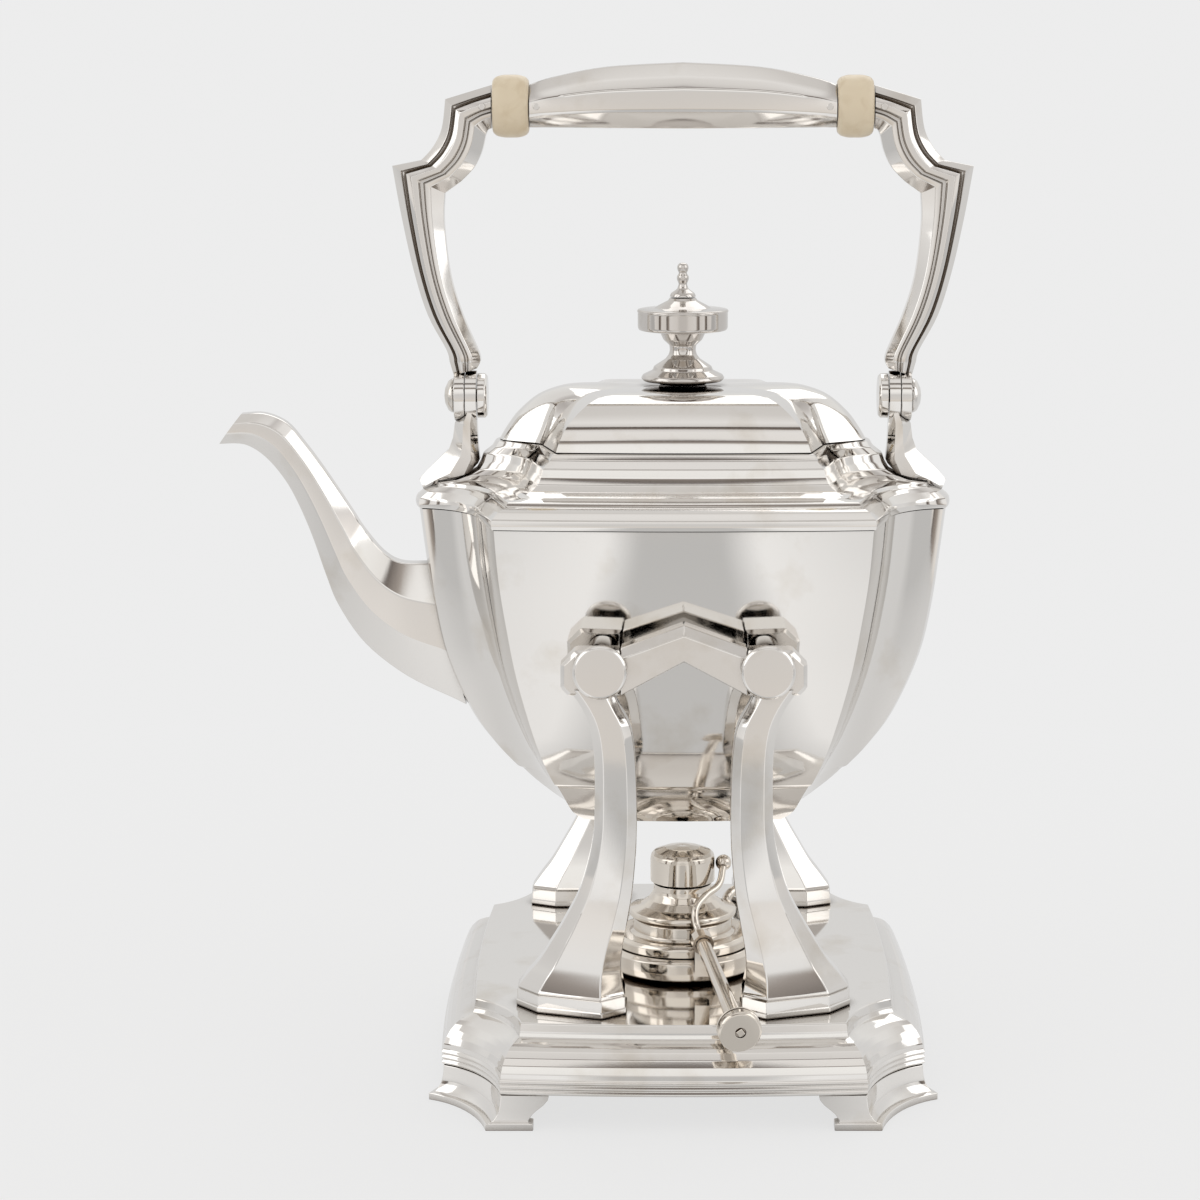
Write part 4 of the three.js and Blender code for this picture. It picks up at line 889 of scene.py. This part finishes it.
tray = {
    "plan": {"front": (58, 94), "end": (75.8, 64.4), "frontBow": 3, "endBow": 1.9, "scoop": 0.6},
    "corner": 0.59,
    "ease": 0.3,
    "crease": 28,
    "profile": [
        (-3.6, 32.9), (-1.6, 31), (5.1, 25.2), (8.7, 18.7), (8.7, 13), (11.1, 13), (11.8, 13.9), (11.1, 14.9),
        (11.8, 15.8), (11.1, 16.8), (11.8, 17.7), (11.1, 18.7), (10.9, 20.6), (10, 23.1), (8.6, 25.5), (6.7, 27.6),
        (5.2, 28.7), (3.7, 29.4), (0.6, 30.6), (0, 32.2), (0, 32.6), (-0.4, 35.3), (-0.8, 35.7),
    ],
}


def makeTray():
    rings = []
    for offset, z in softCorners(tray["profile"], tray["ease"]):
        rings.append(planRing(grown(tray["plan"], offset, tray["corner"]), z))
    skinPiece("footed_tray", rings, "stand", ["base_plate"], tray["crease"])


makeTray()

# Bracket feet: two wings and a hollow corner face that flares out to the table
# Levels: share of the height, share of the flare and length of the wings

foot = {
    "wall": 5,
    "flare": 5.5,
    "sideFlare": 0.2,
    "top": 12.7,
    "reach": 11.1,
    "levels": [(1, 0, 17), (0.85, 0.02, 16.6), (0.7, 0.06, 15), (0.55, 0.14, 12.6), (0.45, 0.22, 11.2),
               (0.3, 0.45, 9.8), (0.23, 0.62, 9.6), (0.2, 1, 11.4), (0, 1, 11.4)],
}


def footLoop(heightShare, flareShare, wing):
    z = foot["top"] * heightShare
    flare = foot["flare"] * flareShare
    edge = planRing(grown(tray["plan"], foot["reach"], tray["corner"]), z)
    corner = edge[bowSteps:bowSteps + scoopSteps + 1]
    wall = foot["wall"]
    first, last = corner[0], corner[-1]
    aside = flare * foot["sideFlare"]
    outer = [(first[0] - wing, first[1] - aside, z)]
    outer += [(x + flare, y - aside, z) for x, y, _ in corner]
    outer.append((last[0], last[1] + wing, z))
    inner = [(first[0] - wing, first[1] + wall, z)]
    inner += [(x - wall, y + wall, z) for x, y, _ in corner]
    inner.append((last[0] - wall, last[1] + wing, z))
    return outer + inner[::-1]


def makeFeet():
    loops = [footLoop(*level) for level in foot["levels"]]
    count, total = len(loops[0]), len(loops)
    faces = bandFaces(count, total - 1, total)
    top = (total - 1) * count
    for i in range(count // 2 - 1):
        faces.append((i, count - 1 - i, count - 2 - i, i + 1))
        faces.append((top + i, top + i + 1, top + count - 2 - i, top + count - 1 - i))
    for corner, (signX, signY) in cornerSigns.items():
        name = f"scrolled_foot_{corner}"
        mesh = meshFrom(name, [place(signX * x, signY * y, z) for loop in loops for x, y, z in loop], faces)
        finishPiece(name, mesh, "stand", [f"bracket_foot_{corner}"], 30, 0.3)


makeFeet()

# Handle: tube from the lamp, dished guard and knob on one slanting line, and the ball beside the cap

handleStart = Vector((5.9, -47.4, 55))
handleEnd = Vector((18.3, -122, 43.8))
handleWay = (handleEnd - handleStart).normalized()
handleLength = (handleEnd - handleStart).length
ballRadius, ballSteps = 3, 20


def onHandle(distance):
    return handleStart + handleWay * distance


onTube = {"body": "lamp", "segments": 64, "closed": True}
alongHandle = {
    "handle_sleeve": ("handle_tube", 0, {**onTube, "soft": 0.25}, [
        (1.6, 2), (2.7, 2), (2.97, handleLength), (1.6, handleLength)]),
    "handle_guard": ("handle_dish", handleLength, {**onTube, "soft": 0.15}, [
        (1.6, 0.3), (2.9, 0.3), (7.2, 1.2), (7.7, 1.7), (7.5, 2), (1.6, 2)]),
    "turning_knob": ("snuffer_knob", handleLength, {"body": "snuffer", "segments": 72, "soft": 0.3}, [
        (0, 2.3), (7, 2.3), (7.6, 2.9), (7.6, 5.4), (6.9, 6.3), (1.9, 6.3), (1.9, 5.7), (0, 5.7)]),
    "knob_rivet": ("knob_peg", handleLength + 5.7,
                   {"body": "snuffer", "segments": 4, "soft": 0.2, "crease": 30, "bevel": 0.25},
                   [(0, 0), (1.75, 0), (1.75, 0.6), (1.5, 0.85), (0, 0.85)]),
}
for name, (node, start, common, profile) in alongHandle.items():
    turnPiece(name, nodes=[node], profile=profile, origin=onHandle(start), axis=handleWay, material=lampSilver,
              **common)
arc = [math.pi * i / ballSteps for i in range(ballSteps + 1)]
turnPiece("cap_pivot", "snuffer", ["cap_ball"], [(ballRadius * math.sin(t), -ballRadius * math.cos(t)) for t in arc],
          (15.3, -22, 75.6), crease=60, segments=48, soft=0.05, material=lampSilver)

# Wires follow a path, and rivets repeat, by trees of their own


def carriedTree(name, sockets):
    # Tree with geometry in and out, more sockets of its own, and a finish that what it makes wears
    tree = bpy.data.node_groups.new(name, "GeometryNodeTree")
    addSocket(tree, "Geometry", "INPUT", "NodeSocketGeometry")
    names = {key: addSocket(tree, label, "INPUT", kind) for key, (label, kind) in sockets.items()}
    names["material"] = addSocket(tree, "Finish", "INPUT", "NodeSocketMaterial")
    addSocket(tree, "Geometry", "OUTPUT", "NodeSocketGeometry")
    enter = addNode(tree, "NodeGroupInput")
    realize = addNode(tree, "GeometryNodeRealizeInstances")
    paint = addNode(tree, "GeometryNodeSetMaterial")
    join(
        tree,
        (realize, "Geometry", paint, "Geometry"),
        (enter, "Finish", paint, "Material"),
        (paint, "Geometry", addNode(tree, "NodeGroupOutput"), "Geometry"),
    )
    return tree, names, enter, realize


def wireTree():
    tree, names, enter, realize = carriedTree("roundWire", {
        "radius": ("Wire Radius", "NodeSocketFloat"),
        "sides": ("Sides", "NodeSocketInt"),
    })
    circle = addNode(tree, "GeometryNodeCurvePrimitiveCircle")
    sweep = addNode(tree, "GeometryNodeCurveToMesh", {"Fill Caps": True})
    join(
        tree,
        (enter, "Geometry", sweep, "Curve"),
        (enter, "Wire Radius", circle, "Radius"),
        (enter, "Sides", circle, "Resolution"),
        (circle, "Curve", sweep, "Profile Curve"),
        (sweep, "Mesh", realize, "Geometry"),
    )
    return tree, names


def rivetTree():
    tree, names, enter, realize = carriedTree("rivetRow", {
        "radius": ("Rivet Radius", "NodeSocketFloat"),
        "length": ("Rivet Length", "NodeSocketFloat"),
    })
    shank = addNode(tree, "GeometryNodeMeshCylinder", {"Vertices": rivet["sides"]})
    turn = addNode(tree, "GeometryNodeTransform", {"Rotation": (math.pi / 2, 0, 0)})
    scatter = addNode(tree, "GeometryNodeInstanceOnPoints")
    join(
        tree,
        (enter, "Rivet Radius", shank, "Radius"),
        (enter, "Rivet Length", shank, "Depth"),
        (shank, "Mesh", turn, "Geometry"),
        (enter, "Geometry", scatter, "Points"),
        (turn, "Geometry", scatter, "Instance"),
        (scatter, "Instances", realize, "Geometry"),
    )
    return tree, names


def grownMesh(name, data, built, values):
    # What a tree makes of a path or of points
    carrier = bpy.data.objects.new(f"{name}_carrier", data)
    bpy.context.scene.collection.objects.link(carrier)
    tree, names = built
    modifier = carrier.modifiers.new("tree", "NODES")
    modifier.node_group = tree
    for key, value in values.items():
        modifier[names[key]] = value
    carrier.update_tag()
    bpy.context.view_layer.update()
    evaluated = carrier.evaluated_get(bpy.context.evaluated_depsgraph_get())
    mesh = bpy.data.meshes.new_from_object(evaluated)
    mesh.name = name
    bpy.data.objects.remove(carrier)
    return mesh


rivet = {
    "radius": 1.15,
    "length": 17.4,
    "sides": 28,
    "spots": (73.2, 53.4),
    "crease": 40,
    "ease": 0.2,
}
wireSides, wireSteps, wireCrease = 24, 12, 50
wires = {
    "snuffer_wire": {
        "points": [(15.1, -25.4, 74.6), (13.4, -30.6, 69.4), (8.4, -35.6, 66.4), (4.6, -40.6, 62),
                   tuple(onHandle(-2)), tuple(onHandle(2)), tuple(onHandle(handleLength + 2))],
        "radius": 1.3, "body": "snuffer", "node": "snuffer_arm",
    },
    "lift_loop": {
        "points": [(15.9, -6.1, 50.3), (17.8, -4.2, 58.4), (22.5, 0.5, 58.4), (23.9, 1.9, 50), (22.5, 0.5, 40.6),
                   (20, -2, 40.6)],
        "radius": 1.8, "body": "lamp", "node": "lamp_handle",
    },
}


def makeWires():
    built = wireTree()
    for name, wire in wires.items():
        curve = bpy.data.curves.new(name, "CURVE")
        curve.dimensions = "3D"
        curve.resolution_u = wireSteps
        line = curve.splines.new("BEZIER")
        line.bezier_points.add(len(wire["points"]) - 1)
        for knot, point in zip(line.bezier_points, wire["points"]):
            knot.co = place(*point)
            knot.handle_left_type = "AUTO"
            knot.handle_right_type = "AUTO"
        values = {"radius": wire["radius"] * mm, "sides": wireSides, "material": lampSilver}
        mesh = grownMesh(name, curve, built, values)
        finishPiece(name, mesh, wire["body"], [wire["node"]], wireCrease, material=lampSilver)


def makeRivets():
    spots = bpy.data.meshes.new("rivet_spots")
    places = [place(sign * x, 0, bail["gripHeight"]) for sign in (-1, 1) for x in rivet["spots"]]
    spots.from_pydata(places, [], [])
    values = {"radius": rivet["radius"] * mm, "length": rivet["length"] * mm, "material": silver}
    mesh = grownMesh("bail_rivets", spots, rivetTree(), values)
    nodes = [f"{kind}_rivet_{side}" for kind in ("arm", "grip") for side in sideSigns]
    finishPiece("bail_rivets", mesh, "bail", nodes, rivet["crease"], rivet["ease"])


makeWires()
makeRivets()
print("wires and rivets made")

# Studio: pale floor, wide soft lamps and a pale surround that the silver mirrors

studio = {
    "pale": 0.845,
    "floorRough": 0.9,
    "floorSize": 6,
    "shadowNear": 0.12,
    "shadowFar": 0.6,
    "plainShare": 0.82,
    "tableFront": -0.62,
    "backFrom": -0.14,
    "backTo": 0.02,
    "backTone": 0.76,
    "acrossHalf": 0.6,
    "acrossTones": [(at, (tone,) * 3) for at, tone in (
        (0, 0.62), (0.3, 0.84), (0.4, 1.0), (0.43, 1.04), (0.462, 0.61), (0.54, 0.61), (0.575, 1.04), (0.6, 1.0),
        (0.7, 0.84), (1, 0.62))],
    "roomStrength": 1.12,
    "upTones": [
        (0.0, (0.26, 0.2, 0.15)), (0.2, (0.4, 0.34, 0.27)), (0.34, (0.72, 0.68, 0.63)), (0.41, (0.86, 0.84, 0.82)),
        (0.49, (0.88, 0.87, 0.86)), (0.56, (0.84, 0.84, 0.84)), (0.62, (0.86, 0.86, 0.86)),
        (0.7, (0.96, 0.96, 0.95)), (0.84, (0.88, 0.87, 0.86)), (0.89, (0.86, 0.85, 0.84)),
        (0.92, (0.7, 0.68, 0.67)), (0.94, (0.6, 0.58, 0.57)), (0.96, (0.8, 0.79, 0.78)), (1.0, (0.86, 0.85, 0.84)),
    ],
    "depthTones": [
        (0.0, (0.78, 0.77, 0.76)), (0.009, (0.8, 0.79, 0.78)), (0.018, (0.95, 0.94, 0.93)), (0.06, (1, 1, 1)),
        (0.085, (1, 1, 1)), (0.1, (0.42, 0.38, 0.35)), (0.13, (0.16, 0.14, 0.13)), (0.14, (0.94, 0.93, 0.92)),
        (0.228, (1, 1, 1)), (0.24, (0.34, 0.3, 0.27)), (0.278, (0.12, 0.1, 0.09)), (0.29, (0.9, 0.89, 0.88)),
        (0.38, (1, 1, 1)), (0.48, (0.8, 0.79, 0.78)), (0.55, (0.78, 0.77, 0.76)), (0.7, (0.88, 0.88, 0.88)),
        (1.0, (0.8, 0.8, 0.8)),
    ],
    "lampTarget": 180,
    "lamps": [
        {"name": "leftSoft", "at": (-1.2, -0.7, 0.9), "size": 1.2, "power": 3.2},
        {"name": "rightSoft", "at": (1.2, -0.5, 0.8), "size": 1.0, "power": 2.2},
        {"name": "topSoft", "at": (0.2, 1.0, 1.5), "size": 1.2, "power": 4},
    ],
    "camera": {"at": (-8, -1197.7, 382.6), "lens": 97.1, "sensor_width": 36, "shift_x": -0.051, "tilt": 80},
}


def anyRay(tree, *kinds):
    # One for rays of these kinds, zero for all others
    path = addNode(tree, "ShaderNodeLightPath")
    source, output = path, f"Is {kinds[0]} Ray"
    for kind in kinds[1:]:
        either = addNode(tree, "ShaderNodeMath", operation="MAXIMUM")
        join(tree, (source, output, either, 0), (path, f"Is {kind} Ray", either, 1))
        source, output = either, "Value"
    return source, output


def makeFloor():
    # Lit near the object, plain further out, and with bands of tone where the silver mirrors it
    size, front = studio["floorSize"], studio["tableFront"]
    mesh = bpy.data.meshes.new("floor")
    mesh.from_pydata([(-size, front, 0), (size, front, 0), (size, size, 0), (-size, size, 0)], [], [(0, 1, 2, 3)])
    floor = bpy.data.objects.new("floor", mesh)
    bpy.context.scene.collection.objects.link(floor)
    pale = grey(studio["pale"])
    material, tree, shader = newMaterial("paleFloor", {"Base Color": pale, "Roughness": studio["floorRough"]})
    plain = addNode(tree, "ShaderNodeEmission")
    split = addNode(tree, "ShaderNodeSeparateXYZ")
    side = addNode(tree, "ShaderNodeMapRange", {
        "From Min": axisX - studio["acrossHalf"],
        "From Max": axisX + studio["acrossHalf"],
    })
    band = rampNode(tree, studio["acrossTones"])
    behind = addNode(tree, "ShaderNodeMapRange", {
        "From Min": axisY + studio["backFrom"],
        "From Max": axisY + studio["backTo"],
    })
    depth = addNode(tree, "ShaderNodeMix", {"B": grey(studio["backTone"])}, data_type="RGBA")
    tint = addNode(tree, "ShaderNodeMix", {"A": pale}, data_type="RGBA")
    coordinate = addNode(tree, "ShaderNodeTexCoord")
    away = addNode(tree, "ShaderNodeVectorMath", operation="LENGTH")
    fade = addNode(tree, "ShaderNodeMapRange", {
        "From Min": studio["shadowNear"],
        "From Max": studio["shadowFar"],
        "To Min": studio["plainShare"],
    })
    share = addNode(tree, "ShaderNodeMath", operation="MULTIPLY")
    mix = addNode(tree, "ShaderNodeMixShader")
    output = next(node for node in tree.nodes if node.bl_idname == "ShaderNodeOutputMaterial")
    join(
        tree,
        (coordinate, "Object", split, "Vector"),
        (split, "X", side, "Value"),
        (side, "Result", band, "Fac"),
        (split, "Y", behind, "Value"),
        (behind, "Result", depth, "Factor"),
        (band, "Color", depth, "A"),
        (*anyRay(tree, "Glossy"), tint, "Factor"),
        (depth, "Result", tint, "B"),
        (tint, "Result", plain, "Color"),
        (coordinate, "Object", away, 0),
        (away, "Value", fade, "Value"),
        (fade, "Result", share, 0),
        (*anyRay(tree, "Camera", "Glossy", "Transmission"), share, 1),
        (share, "Value", mix, "Fac"),
        (shader, "BSDF", mix, 1),
        (plain, "Emission", mix, 2),
        (mix, "Shader", output, "Surface"),
    )
    mesh.materials.append(material)


def toneAlong(tree, split, axis, tones):
    # Tone for each way out into the room, from minus one to one along an axis
    half = addNode(tree, "ShaderNodeMath", {1: 0.5, 2: 0.5}, operation="MULTIPLY_ADD")
    ramp = rampNode(tree, tones)
    join(tree, (split, axis, half, 0), (half, "Value", ramp, "Fac"))
    return ramp, "Color"


def makeWorld():
    world = bpy.data.worlds.new("studio")
    bpy.context.scene.world = world
    world.use_nodes = True
    tree = world.node_tree
    tree.nodes.clear()
    output = addNode(tree, "ShaderNodeOutputWorld")
    plain = addNode(tree, "ShaderNodeBackground", {"Color": grey(studio["pale"])})
    room = addNode(tree, "ShaderNodeBackground", {"Strength": studio["roomStrength"]})
    coordinate = addNode(tree, "ShaderNodeTexCoord")
    split = addNode(tree, "ShaderNodeSeparateXYZ")
    both = addNode(tree, "ShaderNodeMix", {"Factor": 1}, data_type="RGBA", blend_type="MULTIPLY")
    mix = addNode(tree, "ShaderNodeMixShader")
    join(
        tree,
        (coordinate, "Generated", split, "Vector"),
        (*toneAlong(tree, split, "Z", studio["upTones"]), both, "A"),
        (*toneAlong(tree, split, "Y", studio["depthTones"]), both, "B"),
        (both, "Result", room, "Color"),
        (*anyRay(tree, "Camera", "Transmission"), mix, "Fac"),
        (room, "Background", mix, 1),
        (plain, "Background", mix, 2),
        (mix, "Shader", output, "Surface"),
    )


def makeLamps():
    target = place(0, 0, studio["lampTarget"])
    for lampSet in studio["lamps"]:
        light = bpy.data.lights.new(lampSet["name"], "AREA")
        light.shape = "SQUARE"
        light.size = lampSet["size"]
        light.energy = lampSet["power"]
        holder = bpy.data.objects.new(lampSet["name"], light)
        holder.location = Vector(lampSet["at"]) + Vector((axisX, axisY, 0))
        holder.rotation_euler = (target - holder.location).to_track_quat("-Z", "Y").to_euler()
        bpy.context.scene.collection.objects.link(holder)


def makeCamera():
    view = studio["camera"]
    camera = bpy.data.cameras.new("camera")
    for key in ("lens", "sensor_width", "shift_x"):
        setattr(camera, key, view[key])
    holder = bpy.data.objects.new("camera", camera)
    holder.location = place(*view["at"])
    holder.rotation_euler = (math.radians(view["tilt"]), 0, 0)
    bpy.context.scene.collection.objects.link(holder)
    bpy.context.scene.camera = holder


makeFloor()
makeWorld()
makeLamps()
makeCamera()
bpy.context.scene.view_settings.view_transform = "Standard"

print("scene ready")
